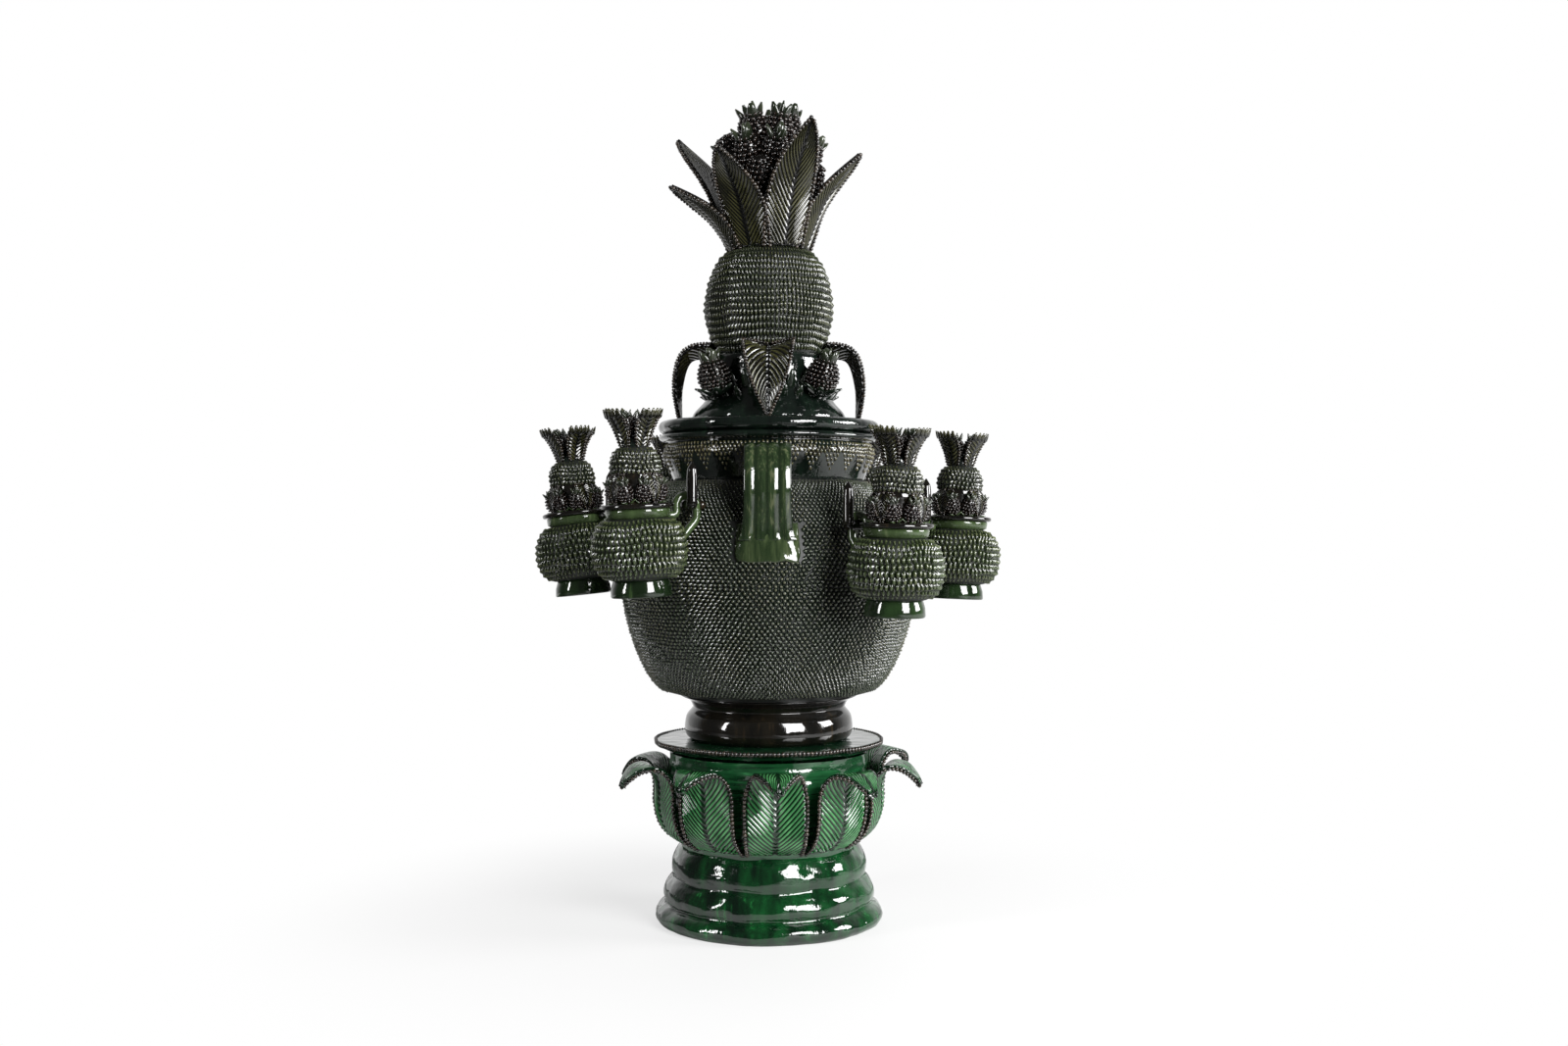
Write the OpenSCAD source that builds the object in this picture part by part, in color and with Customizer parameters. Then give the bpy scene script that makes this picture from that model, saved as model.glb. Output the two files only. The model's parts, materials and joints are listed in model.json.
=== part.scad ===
// Green-glazed pineapple punch jar: a hollow pedestal with a ring of curled leaves, a round jar
// standing loose on its plate, a lid that carries a large pineapple, and six lidded mugs that
// hang by their handles from hooks on the jar's shoulder. The front faces -Y.

/* [Pedestal] */
// Radius of the lowest ring
base_ring_r = 125; // [119:1:135]
// Height of the lowest ring
base_ring_h = 20; // [14:1:30]
// Radius of the middle ring
mid_ring_r = 115; // [111:1:118]
// Height of the middle ring
mid_ring_h = 24; // [16:1:32]
// Radius of the upper ring
top_ring_r = 107; // [103:1:110]
// Height of the upper ring
top_ring_h = 30; // [20:1:36]
// Depth of the grooves between the rings
groove_d = 2; // [1:0.5:3]
// How far the lowest ring draws in at the floor
foot_inset = 6; // [3:1:10]
// Radius of the waist under the leaves
waist_r = 97; // [92:1:101]
// Radius of the bowl behind the leaves
bowl_r = 109; // [104:1:112]
// Height of the bowl, from the waist to the plate
bowl_h = 112; // [105:1:130]
// Wall of the hollow pedestal
pedestal_wall = 9; // [6:0.5:12]
// How far the plate that the jar stands on reaches past the lowest ring
plate_overhang = 2; // [0:0.5:6]
// Depth of the plate with its flared underside
plate_t = 14; // [10:1:20]
// Thickness of the plate's edge
plate_edge_t = 5; // [3:0.5:8]

/* [Pedestal leaves] */
// Width of a leaf where it is widest
leaf_w = 66; // [56:1:70]
// Width of a leaf at its root
leaf_root_w = 56; // [44:1:58]
// Thickness of a leaf
leaf_t = 5; // [3:0.5:6]
// Radius of the leaf's belly
leaf_belly_r = 131; // [124:1:138]
// Height of the belly over the waist
leaf_belly_h = 50; // [44:1:56]
// Radius of the crest where the leaf turns over
leaf_crest_r = 143; // [138:1:148]
// Height of the crest over the waist
leaf_crest_h = 93; // [86:1:98]
// Radius of the curled tip
leaf_tip_r = 159; // [154:1:168]
// Height of the curled tip over the waist
leaf_tip_h = 79; // [72:1:84]

/* [Jar] */
// Radius of the foot at its bottom
foot_r = 88; // [82:1:92]
// Radius of the foot where it is widest
foot_belly_r = 93; // [90:1:98]
// Radius of the foot under the body
foot_top_r = 85; // [80:1:90]
// Height of the foot
foot_h = 45; // [36:1:55]
// Radius of the hollow under the foot
foot_bore_r = 70; // [60:1:74]
// Radius where the flat underside turns up into the wall
body_floor_r = 118; // [110:1:124]
// Rise of the underside from the foot to that turn
body_floor_h = 8; // [5:0.5:12]
// Radius of the body over the studs
body_r = 163; // [155:1:172]
// Height of the widest line over the foot
body_belly_h = 120; // [110:1:128]
// Radius of the neck under the collar
neck_r = 107; // [104:1:110]
// Height of the body
body_h = 237; // [228:1:246]
// Wall of the jar
jar_wall = 9; // [6:0.5:11]
// Rows of studs on the body
body_rows = 48; // [36:1:54]
// Height of the studs on the jar, the fruit and the mugs
stud_h = 2; // [1:0.25:2.5]
// Radius of the collar over its studs
collar_r = 117.5; // [114:0.5:121]
// Radius of the collar under the rim
collar_top_r = 112; // [110:0.5:115]
// Height of the collar
collar_h = 42; // [36:1:50]
// Radius of the rolled rim
rim_r = 121; // [118:0.5:124]
// Height of the rolled rim
rim_h = 9; // [7:0.5:12]
// Radius of the mouth
mouth_r = 98; // [90:1:98]

/* [Strap handles] */
// Width of a strap
strap_w = 48; // [38:1:56]
// Thickness of a strap
strap_t = 9; // [6:0.5:11]
// Radius to the middle of the strap where it bows out most
strap_bow_r = 157; // [150:1:162]
// Depth of a strap's lower end under the collar
strap_drop = 52; // [44:1:60]
// Width of the smooth patch under a strap
patch_w = 70; // [58:1:80]
// Thickness of the patch
patch_t = 4; // [2:0.5:6]
// Height of the patch under the end of the strap
patch_h = 34; // [24:1:40]

/* [Lid] */
// Radius of the flange
flange_r = 121.5; // [118:0.5:126]
// Thickness of the flange
flange_t = 14; // [10:0.5:18]
// Room between the spigot and the mouth
spigot_gap = 1.5; // [0.5:0.1:3]
// Depth of the spigot
spigot_h = 16; // [10:1:24]
// Radius of the dome where it leaves the flange
dome_r = 86; // [80:1:90]
// Radius of the stalk under the fruit
stalk_r = 60; // [54:1:62]
// Height from the flange to the fruit
dome_h = 72; // [66:1:80]
// Wall of the lid
lid_wall = 7; // [5:0.5:9]
// Radius of the fruit over its studs
fruit_r = 72.5; // [68:0.5:78]
// Height of the fruit's widest line over its bottom
fruit_belly_h = 46; // [40:1:54]
// Height of the fruit
fruit_h = 116; // [106:1:126]
// Radius of the fruit's top
fruit_top_r = 46; // [45:0.5:50]
// Rows of studs on the fruit
fruit_rows = 17; // [13:1:20]

/* [Lid leaves and small pineapples] */
// Width of a lid leaf at the fruit
lid_leaf_w = 54; // [44:1:58]
// Thickness of a lid leaf
lid_leaf_t = 4; // [3:0.5:5]
// Radius where a lid leaf arches out most
lid_leaf_r = 98; // [95:1:102]
// Radius of a small pineapple
small_r = 15; // [12:0.5:16]
// Height of a small pineapple without its tuft
small_h = 38; // [32:1:42]
// Height of its tuft
small_tuft_h = 11; // [8:1:14]
// Lean of the small pineapples away from the stalk
small_lean = 20; // [16:1:26]

/* [Crown] */
// Radius of the stem inside the crown
stem_r = 43; // [40:0.5:44]
// Height of the stem under its domed top
stem_h = 65; // [54:1:70]
// Radius of the domed top
mound_r = 38; // [34:1:40]
// Height of the domed top
mound_h = 45; // [38:1:50]
// Width of a crown leaf where it is widest
crown_leaf_w = 48; // [38:1:52]
// Width of a crown leaf at its root
crown_root_w = 34; // [26:1:36]
// Thickness of a crown leaf
crown_leaf_t = 4; // [3:0.5:5]
// Radius of a pineapple in the crown
crown_fruit_r = 13; // [10:0.5:13.5]
// Height of such a pineapple without its tuft
crown_fruit_h = 37; // [30:1:42]
// Height of its tuft
crown_tuft_h = 18; // [12:1:20]
// Lean of the outer pineapples
crown_fruit_lean = 24; // [18:1:28]
// Distance of the outer pineapples from the middle
crown_fruit_ring_r = 31; // [30:0.5:33]

/* [Mugs] */
// Radius of a mug over its studs
mug_r = 50; // [44:0.5:52]
// Height of a mug from foot to rim
mug_h = 88; // [82:1:96]
// Radius of the neck
mug_neck_r = 31; // [28:0.5:32]
// Height of the plain neck
mug_neck_h = 10; // [9:0.5:14]
// Radius of the foot
mug_foot_r = 31; // [28:0.5:36]
// Height of the foot
mug_foot_h = 17; // [12:0.5:20]
// Wall of a mug
mug_wall = 5; // [3.5:0.25:6]
// Rows of studs on a mug
mug_rows = 10; // [8:1:12]
// Depth of a mug's rim under the jar's collar, before each mug's own difference
mug_rim_drop = 41; // [32:1:52]
// Room between the belly of a hanging mug and the jar
lean_gap = 1.2; // [0.8:0.1:4]

/* [Mug lids] */
// Radius of the flange
mug_lid_r = 37; // [35:0.5:38]
// Thickness of the flange
mug_lid_t = 5; // [4:0.5:7]
// Room between the spigot and the neck
mug_spigot_gap = 0.8; // [0.5:0.1:1.5]
// Depth of the spigot
mug_spigot_h = 7; // [5:0.5:10]
// Radius over the wreath of leaves and tiny pineapples
wreath_r = 29; // [26:0.5:32]
// Height of the wreath over the flange
wreath_h = 31; // [26:1:36]
// Radius of the fruit on the lid
mug_fruit_r = 27; // [24:0.5:30]
// Height of the fruit
mug_fruit_h = 26; // [22:1:30]
// Radius where the crown leaves the fruit
mug_crown_root_r = 15; // [12:0.5:17]
// Radius of the crown at its tips
mug_crown_r = 29; // [24:0.5:32]
// Height of the crown
mug_crown_h = 42; // [36:1:48]

/* [Mug handles and hooks] */
// Radius of the handle's bar
handle_bar_r = 4.25; // [3.5:0.25:4.75]
// Radius of the arch, to the middle of the bar
arch_r = 11; // [10.5:0.25:14]
// Room between the lid's flange and the handle
handle_gap = 0.6; // [0.4:0.1:1.5]
// Length of the leg on the jar's side
handle_leg_h = 14; // [10:0.5:18]
// Depth of the handle's lower end under the rim
handle_end_h = 40; // [36:0.5:46]
// Radius of the hook's bar
hook_r = 5.5; // [4.5:0.25:5.5]
// Room between the hook and the arch that hangs on it
hang_gap = 0.3; // [0.2:0.05:0.5]
// Length of the arm from the handle to the hook's root
arm_root_l = 14; // [13:0.5:18]
// Length of the arm from the handle to the peg
arm_peg_l = 16; // [14:0.5:20]
// Height of the peg over the arm
peg_h = 38; // [30:1:44]

/* [Hidden] */
$fn = 64;
// Room between pieces that are stuck together with slip
lute_gap = 0.2;
// Chords to one ring, quadrant or leaf span
ring_steps = 8;
quadrant_steps = 12;
leaf_steps = 4;
leaf_columns = 4;
// Half the width that is left at a leaf's tip
leaf_tip_half = 1.2;
// Fullness of the round outlines, where 2 is an ellipse
belly_under = 1.5;
belly_over = 1.6;
fruit_under = 1.15;
fruit_over = 1.7;
mug_full = 2;
// How much thicker the joints of a bent bar are than its straight runs
knuckle = 0.3;
// How far runs that are one piece reach into each other
tie = 1;
// Least step between the end of a curved inner wall and the flat beside it
least_step = 1;
// Where a leaf is widest along its length, and how bluntly it ends
leaf_form = [0.55, 0.5];
lid_leaf_form = [0.85, 0.1];
crown_leaf_form = [0.45, 0.8];
// Where a lid leaf turns down, out from the fruit and up from the flange
lid_leaf_turn = [0.75, 0.55];
// Where a strap turns down between the collar and its bow, and where it bows out most
strap_turn = 0.6;
strap_bow = 0.46;
// Where the collar starts to flare, as shares of its step out and its height, and where it is widest
collar_flare = [0.2, 0.12];
collar_widest = 0.68;
// The dome's hollow curve, as shares of its step in and of its height
dome_bends = [[0.86, 0.13], [0.3, 0.4]];
// A small pineapple's foot, neck and tuft as shares of its radius, and the height of its widest line
small_foot = 0.55;
small_neck = 0.5;
small_tuft = 0.75;
small_widest = 0.42;
// Where the small pineapples sit on the dome, and how far off its face they start
small_seat = 0.3;
small_offset = 0.3;
// How far a mug's foot draws in at its middle and its lip flares out
mug_flare = 1.5;
// Share of the wreath's height that stands upright
wreath_upright = 0.6;
// Lift of a crown leaf's root, as a share of its thickness
crown_root_lift = 0.7;
// Where a crown leaf's middle lies between its root and its tip, across and up
crown_bend = [0.34, 0.5];

// Each leaf, hook and mug was made by hand, so each has its own small difference
leaf_first = 4;
leaf_tip_lift = [6, -2, -3, 8, 3, -4, 4, -5, -2, 4];
leaf_count = len(leaf_tip_lift);
crown_turns = [-28, 23, 74, 126, 178, 232, 285];
crown_tip_r = [111, 115, 101, 112, 108, 132, 108];
crown_tip_h = [95, 123, 102, 112, 115, 143, 68];
mug_turns = [-38, 35, -98, 103, -148, 148];
mug_yaws = [-25, 6, -14, 14, -14, 14];
mug_tilts = [3, 2, 6.5, 2.5, 4, 4];
mug_lifts = [9, -10, 2, -3, 0, 0];
mug_count = len(mug_turns);

lid_leaf_count = 4;
small_count = 4;
crown_ring_count = 6;

// Heights of the main joints over the floor
waist_z = base_ring_h + mid_ring_h + top_ring_h;
bowl_top_z = waist_z + bowl_h;
plate_z = bowl_top_z + plate_t;
body_z = plate_z + foot_h;
belly_z = body_z + body_belly_h;
collar_z = body_z + body_h;
rim_z = collar_z + collar_h;
mouth_z = rim_z + rim_h;
dome_z = mouth_z + flange_t;
fruit_z = dome_z + dome_h;
crown_z = fruit_z + fruit_h;
mug_rim_z = collar_z - mug_rim_drop;

// The plate follows the foot of the pedestal
plate_r = base_ring_r + plate_overhang;

// The handle, seen from the mug's axis towards the hook
leg_in_u = mug_lid_r + handle_gap + handle_bar_r;
arch_u = leg_in_u + arch_r;
leg_out_u = arch_u + arch_r;
strut_z = -mug_neck_h + tie;
hang = arch_r - handle_bar_r - hook_r - hang_gap;
mug_belly_z = (mug_h - mug_foot_h + mug_neck_h) / 2;

function numbered(name, count) = [for (i = [1 : count]) str(name, "_", i)];
function mug_names(i) = [for (piece = ["body", "handle", "lid", "finial"]) str("mug_", i, "_", piece)];

glaze_green = "#1d6b3a";
glaze_leaf = "#4f8f5f";
glaze_dark = "#20301f";
glaze_brown = "#2e2418";
glaze_olive = "#4a5230";

// Curves

function mix(a, b, t) = a + (b - a) * t;

// One point of a smooth curve through the points p, between p[i] and p[i + 1]
function smooth_point(p, i, t) =
    let (b = p[i], c = p[i + 1])
    let (a = i > 0 ? p[i - 1] : 2 * b - c, d = i + 2 < len(p) ? p[i + 2] : 2 * c - b)
    let (bend = 2 * a - 5 * b + 4 * c - d, twist = 3 * b - a - 3 * c + d)
    0.5 * (2 * b + (c - a) * t + bend * pow(t, 2) + twist * pow(t, 3));

// A smooth curve through the points p, with a number of chords to each span
function smooth(p, steps) = concat(
    [for (i = [0 : len(p) - 2], k = [0 : steps - 1]) smooth_point(p, i, k / steps)],
    [p[len(p) - 1]]
);

// A quarter of a rounded outline that swells from the radius r0 to r1 and ends upright
function swell(r0, r1, z0, z1, full) = [for (k = [0 : quadrant_steps])
    let (s = sin(90 * k / quadrant_steps), rise = 1 - pow(1 - pow(s, full), 1 / full))
    [mix(r0, r1, s), mix(z0, z1, rise)]];

// A quarter of a rounded outline that starts upright at the radius r0 and closes in to r1
function close_in(r0, r1, z0, z1, full) = [for (q = swell(r1, r0, 0, 1, full)) [q[0], mix(z1, z0, q[1])]];

function turned(p) = [for (i = [len(p) - 1 : -1 : 0]) p[i]];

// The unit vector to the right of a path, which is outwards on a path that climbs
function side(p, i) =
    let (q = p[min(i + 1, len(p) - 1)] - p[max(i - 1, 0)])
    [q[1], -q[0]] / norm(q);

// The path moved to its left by a wall's thickness, kept at or under a level
function inset(p, wall, level) = [for (i = [1 : len(p) - 2])
    let (q = p[i] - wall * side(p, i))
    if (q[1] < level) q];

// Length of the path p up to its point i
function run(p, i) = i == 0 ? 0 : run(p, i - 1) + norm(p[i] - p[i - 1]);

// The path p cut into a number of equal chords
function even(p, count) =
    let (last = len(p) - 1)
    let (r = [for (i = [0 : last]) [run(p, i), p[i][0]]], z = [for (i = [0 : last]) [run(p, i), p[i][1]]])
    [for (k = [0 : count]) let (s = run(p, last) * k / count) [lookup(s, r), lookup(s, z)]];

// Rows of studs as ridges: their crests and the ends lie on the outline, and the grooves under it
function ridged(p, rows) =
    let (last = 2 * rows, q = even(p, last))
    [for (k = [0 : last]) k % 2 == 0 && k > 0 && k < last ? q[k] - stud_h * side(q, k) : q[k]];

function radius_at(outline, z) = lookup(z, [for (q = outline) [q[1], q[0]]]);

module spin(outline) {
    rotate_extrude() polygon(outline);
}

// Turns a piece drawn along +X to face an angle counted from the front towards the right
module around(turn) {
    rotate([0, 0, turn - 90]) children();
}

// Outlines, as radius and height, from the bottom up

function bulge(low, high, r, z0, h) = [for (k = [0 : ring_steps - 1])
    let (t = k / ring_steps)
    [mix(low, high, t) + (r - (low + high) / 2) * sin(180 * t), z0 + h * t]];

function bowl_radius(z) = mix(waist_r, bowl_r, sin(90 * max(0, z - waist_z) / bowl_h));

pedestal_outline = concat(
    bulge(base_ring_r - foot_inset, mid_ring_r - groove_d, base_ring_r, 0, base_ring_h),
    bulge(mid_ring_r - groove_d, top_ring_r - groove_d, mid_ring_r, base_ring_h, mid_ring_h),
    bulge(top_ring_r - groove_d, waist_r, top_ring_r, base_ring_h + mid_ring_h, top_ring_h),
    [for (k = [0 : ring_steps]) let (z = waist_z + bowl_h * k / ring_steps) [bowl_radius(z), z]]
);

foot_outline = smooth([
    [foot_r, plate_z],
    [foot_belly_r, plate_z + foot_h / 4],
    [foot_top_r, body_z]
], ring_steps);

body_side = concat(
    swell(body_floor_r, body_r, body_z + body_floor_h, belly_z, belly_under),
    turned(close_in(body_r, neck_r, belly_z, collar_z, belly_over))
);

function body_outline(extra) = [for (q = concat([[foot_top_r, body_z]], body_side)) [q[0] + extra, q[1]]];

function collar_outline(extra) = [for (q = concat(
    smooth([
        [neck_r, collar_z],
        [mix(neck_r, collar_r, collar_flare[0]), collar_z + collar_h * collar_flare[1]],
        [collar_r, collar_z + collar_h * collar_widest],
        [collar_top_r, rim_z]
    ], ring_steps / 2),
    [for (k = [1 : ring_steps]) let (t = 180 * k / (ring_steps + 1))
        [collar_top_r + (rim_r - collar_top_r) * sin(t), rim_z + rim_h * (1 - cos(t)) / 2]]
)) [q[0] + extra, q[1]]];

dome_outline = smooth(concat(
    [[dome_r, dome_z]],
    [for (bend = dome_bends) [mix(stalk_r, dome_r, bend[0]), dome_z + dome_h * bend[1]]],
    [[stalk_r, fruit_z]]
), ring_steps / 2);

fruit_outline = concat(
    swell(stalk_r, fruit_r, fruit_z, fruit_z + fruit_belly_h, fruit_under),
    turned(close_in(fruit_r, fruit_top_r, fruit_z + fruit_belly_h, crown_z, fruit_over))
);

stem_outline = concat(
    [[stem_r, crown_z]],
    turned(close_in(mound_r, 0, crown_z + stem_h, crown_z + stem_h + mound_h, mug_full))
);

function pineapple_outline(r, h, tuft) = concat(
    smooth([[r * small_foot, 0], [r, h * small_widest], [r * small_neck, h]], ring_steps / 2),
    [[r * small_tuft, h + tuft]]
);

mug_foot = [[mug_foot_r, -mug_h], [mug_foot_r - mug_flare, -mug_h + mug_foot_h / 2]];
mug_side = concat(
    swell(mug_foot_r - mug_flare, mug_r, mug_foot_h - mug_h, -mug_belly_z, mug_full),
    turned(close_in(mug_r, mug_neck_r, -mug_belly_z, -mug_neck_h, mug_full))
);
mug_lip = [[mug_neck_r, -mug_neck_h / 3], [mug_neck_r + mug_flare, 0]];

function mug_outline(extra) = [for (q = concat(mug_foot, mug_side, mug_lip)) [q[0] + extra, q[1]]];

// Places of the hanging mugs

// Distance from the jar's axis to a mug's rim, so that its belly and its handle just clear the jar
function mug_reach(i) =
    let (t = mug_tilts[i], rim = mug_rim_z + mug_lifts[i])
    let (elbow = [leg_out_u + handle_bar_r, -handle_leg_h - handle_bar_r])
    let (near = concat(mug_outline(0), [[elbow[0] * cos(mug_yaws[i]), elbow[1]]]))
    lean_gap + max([for (q = near)
        radius_at(body_outline(0), rim + q[1] * cos(t)) + q[0] * cos(t) - q[1] * sin(t)]);

// The middle of the arm that carries mug i, seen from the jar's axis along its own direction
function arm_place(i) =
    let (reach = arch_u * cos(mug_tilts[i]))
    [mug_reach(i) - reach * cos(mug_yaws[i]), -reach * sin(mug_yaws[i]),
     mug_rim_z + mug_lifts[i] + arch_u * sin(mug_tilts[i]) + hang * cos(mug_tilts[i])];

// At the arm: +X points to the jar, +Y lies along the arm and the origin is in its middle
module at_arm(i) {
    around(mug_turns[i]) translate(arm_place(i)) rotate([0, 0, 180 + mug_yaws[i]]) children();
}

// At the mug: the origin is in the middle of its rim and +X points to its handle
module at_mug(i) {
    at_arm(i) rotate([0, -mug_tilts[i], 0]) translate([-arch_u, 0, -hang]) children();
}

// Half the width of a leaf at the share v of its length
function leaf_half(v, root, widest, form) = v < form[0]
    ? mix(root, widest, sin(90 * v / form[0])) / 2
    : max(leaf_tip_half, widest / 2 * pow(1 - pow((v - form[0]) / (1 - form[0]), 2), form[1]));

// A leaf whose back follows the path and whose sides bend round the wrap radius
module leaf(path, root, widest, form, wrap, thick) {
    n = len(path) - 1;
    m = leaf_columns;
    points = [for (face = [0, 1], i = [0 : n], j = [0 : m])
        let (bend = (2 * j / m - 1) * leaf_half(i / n, root, widest, form) / wrap * 180 / PI)
        let (c = path[i] + face * thick * side(path, i))
        [c[0] - wrap * (1 - cos(bend)), wrap * sin(bend), c[1]]];
    back = [for (i = [0 : n]) [for (j = [0 : m]) i * (m + 1) + j]];
    front = [for (row = back) [for (k = row) k + (n + 1) * (m + 1)]];
    quads = concat(
        [for (i = [0 : n - 1], j = [0 : m - 1])
            [front[i][j], front[i + 1][j], front[i + 1][j + 1], front[i][j + 1]]],
        [for (i = [0 : n - 1], j = [0 : m - 1])
            [back[i][j + 1], back[i + 1][j + 1], back[i + 1][j], back[i][j]]],
        [for (i = [0 : n - 1]) [back[i][0], back[i + 1][0], front[i + 1][0], front[i][0]]],
        [for (i = [0 : n - 1]) [front[i][m], front[i + 1][m], back[i + 1][m], back[i][m]]],
        [for (j = [0 : m - 1]) [back[0][j], front[0][j], front[0][j + 1], back[0][j + 1]]],
        [for (j = [0 : m - 1]) [back[n][j + 1], front[n][j + 1], front[n][j], back[n][j]]]
    );
    polyhedron(points, [for (q = quads) each [[q[0], q[1], q[2]], [q[0], q[2], q[3]]]]);
}

// A straight round bar between two points
module bar(a, b, r) {
    d = b - a;
    translate(a) rotate([0, acos(d[2] / norm(d)), atan2(d[1], d[0])]) cylinder(h = norm(d), r = r);
}

// Pedestal

module pedestal_base() {
    color(glaze_green) spin(concat(
        pedestal_outline,
        [[bowl_r - pedestal_wall, bowl_top_z]],
        turned(inset(pedestal_outline, pedestal_wall, bowl_top_z)),
        [[base_ring_r - foot_inset - pedestal_wall, 0]]
    ));
}

module pedestal_plate() {
    color(glaze_green) spin([[0, bowl_top_z], [bowl_r, bowl_top_z], [plate_r, plate_z - plate_edge_t],
        [plate_r, plate_z], [0, plate_z]]);
}

module pedestal_leaf(i) {
    lift = leaf_tip_lift[i - 1];
    root_z = waist_z + leaf_t;
    root_r = bowl_radius(root_z) + 2 * lute_gap;
    path = smooth([
        [root_r, root_z],
        [mix(root_r, leaf_belly_r - leaf_t, sin(45)), mix(waist_z + leaf_belly_h, root_z, cos(45))],
        [leaf_belly_r - leaf_t, waist_z + leaf_belly_h],
        [leaf_crest_r, waist_z + leaf_crest_h + lift / 2],
        [leaf_tip_r, waist_z + leaf_tip_h + lift]
    ], leaf_steps);
    color(glaze_leaf) around(leaf_first + 360 / leaf_count * (i - 1))
        leaf(path, leaf_root_w, leaf_w, leaf_form, root_r, leaf_t);
}

// Jar

module jar_foot() {
    color(glaze_brown) spin(concat(foot_outline, [[foot_bore_r, body_z], [foot_bore_r, plate_z]]));
}

module jar_body() {
    floor_z = body_z + jar_wall;
    color(glaze_dark) spin(concat(
        [[0, body_z], [foot_top_r, body_z]],
        ridged(body_side, body_rows),
        [[neck_r - jar_wall, collar_z]],
        turned([for (q = inset(body_side, jar_wall, collar_z)) if (q[1] > floor_z + jar_wall / 4) q]),
        [[body_floor_r - jar_wall, floor_z], [0, floor_z]]
    ));
}

module jar_collar() {
    color(glaze_olive) spin(concat(
        collar_outline(0),
        [[collar_top_r, mouth_z], [mouth_r, mouth_z], [mouth_r, collar_z]]
    ));
}

// Everything inside the jar's outer face
module jar_envelope(extra) {
    spin(concat([[0, body_z]], body_outline(extra), collar_outline(extra), [[0, mouth_z]]));
}

// A strap that springs from the collar, bows out and ends in a smooth patch on the shoulder
module strap() {
    top_z = rim_z - strap_t;
    end_z = collar_z - strap_drop;
    path = smooth([
        [collar_top_r - strap_t / 2, top_z],
        [mix(collar_r, strap_bow_r, strap_turn), top_z - strap_t / 2],
        [strap_bow_r, mix(top_z, end_z, strap_bow)],
        [radius_at(body_outline(0), end_z), end_z],
        [radius_at(body_outline(0), end_z - strap_t) - strap_t, end_z - strap_t]
    ], leaf_steps);
    band = [for (half = [-0.5, 0.5])
        [for (i = [0 : len(path) - 1]) path[i] + half * strap_t * side(path, i)]];
    difference() {
        union() {
            rotate([90, 0, 0])
                linear_extrude(strap_w, center = true) polygon(concat(band[1], turned(band[0])));
            intersection() {
                jar_envelope(patch_t);
                translate([neck_r, -patch_w / 2, end_z - patch_h]) cube([body_r, patch_w, patch_h]);
            }
        }
        jar_envelope(lute_gap);
    }
}

module handle_front() {
    color(glaze_olive) around(0) strap();
}

module handle_back() {
    color(glaze_olive) around(180) strap();
}

// A hook: a root out of the shoulder, an arm through the mug's handle and a peg that keeps it on
module hook(i) {
    peg_side = sign(mug_turns[i - 1]);
    root = [0, -peg_side * arm_root_l, 0];
    corner = [0, peg_side * arm_peg_l, 0];
    color(glaze_brown) difference() {
        at_arm(i - 1) {
            bar(root, corner, hook_r);
            for (place = [root, corner]) translate(place) sphere(hook_r + knuckle);
            bar(root, root + [body_r / 2, 0, 0], hook_r - knuckle);
            bar(corner, corner + [0, 0, peg_h], hook_r - knuckle);
            translate(corner + [0, 0, peg_h]) sphere(hook_r);
        }
        jar_envelope(lute_gap);
    }
}

// Lid

module lid_plate() {
    spigot_r = mouth_r - spigot_gap;
    edge = [for (k = [1 : ring_steps]) let (t = 180 * k / (ring_steps + 1))
        [flange_r - flange_t / 2 * (1 - sin(t)), mouth_z + flange_t * (1 - cos(t)) / 2]];
    color(glaze_brown) spin(concat(
        [[spigot_r, mouth_z - spigot_h], [spigot_r, mouth_z], [flange_r - flange_t / 2, mouth_z]],
        edge,
        [[flange_r - flange_t / 2, dome_z]],
        dome_outline,
        [[0, fruit_z], [0, fruit_z - lid_wall], [stalk_r - lid_wall, fruit_z - lid_wall]],
        turned(inset(dome_outline, lid_wall, fruit_z - lid_wall - least_step)),
        [[spigot_r - lid_wall, mouth_z], [spigot_r - lid_wall, mouth_z - spigot_h]]
    ));
}

module lid_fruit() {
    roof_z = crown_z - lid_wall;
    color(glaze_olive) spin(concat(
        ridged(fruit_outline, fruit_rows),
        [[0, crown_z], [0, roof_z], [fruit_top_r - lid_wall, roof_z]],
        turned([for (q = inset(fruit_outline, lid_wall, roof_z - least_step))
            if (q[1] > fruit_z + least_step) q]),
        [[stalk_r - lid_wall, fruit_z]]
    ));
}

module lid_leaf(i) {
    top_z = fruit_z + lid_leaf_t;
    low_z = dome_z + lute_gap;
    root_r = radius_at(fruit_outline, top_z + lid_leaf_t) + lute_gap;
    path = smooth([
        [root_r, top_z],
        [mix(root_r, lid_leaf_r, lid_leaf_turn[0]), top_z - 2 * lid_leaf_t],
        [lid_leaf_r, mix(low_z, top_z, lid_leaf_turn[1])],
        [lid_leaf_r - lid_leaf_t / 2, low_z]
    ], leaf_steps);
    color(glaze_olive) around(360 / lid_leaf_count * (i - 1))
        leaf(turned(path), 2 * leaf_tip_half, lid_leaf_w, lid_leaf_form, root_r, lid_leaf_t);
}

module pineapple(r, h, tuft) {
    spin(concat([[0, 0]], pineapple_outline(r, h, tuft), [[0, h + tuft]]));
}

module lid_pineapple(i) {
    seat_z = dome_z + dome_h * small_seat;
    off = small_r * small_offset;
    color(glaze_brown) difference() {
        around(360 / small_count * (i - 0.5))
            translate([radius_at(dome_outline, seat_z) + off, 0, seat_z - off])
            rotate([0, small_lean, 0]) pineapple(small_r, small_h, small_tuft_h);
        spin(concat([[0, dome_z - tie], [dome_r + lute_gap, dome_z - tie]],
            [for (q = dome_outline) [q[0] + lute_gap, q[1]]], [[0, fruit_z]]));
    }
}

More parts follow.
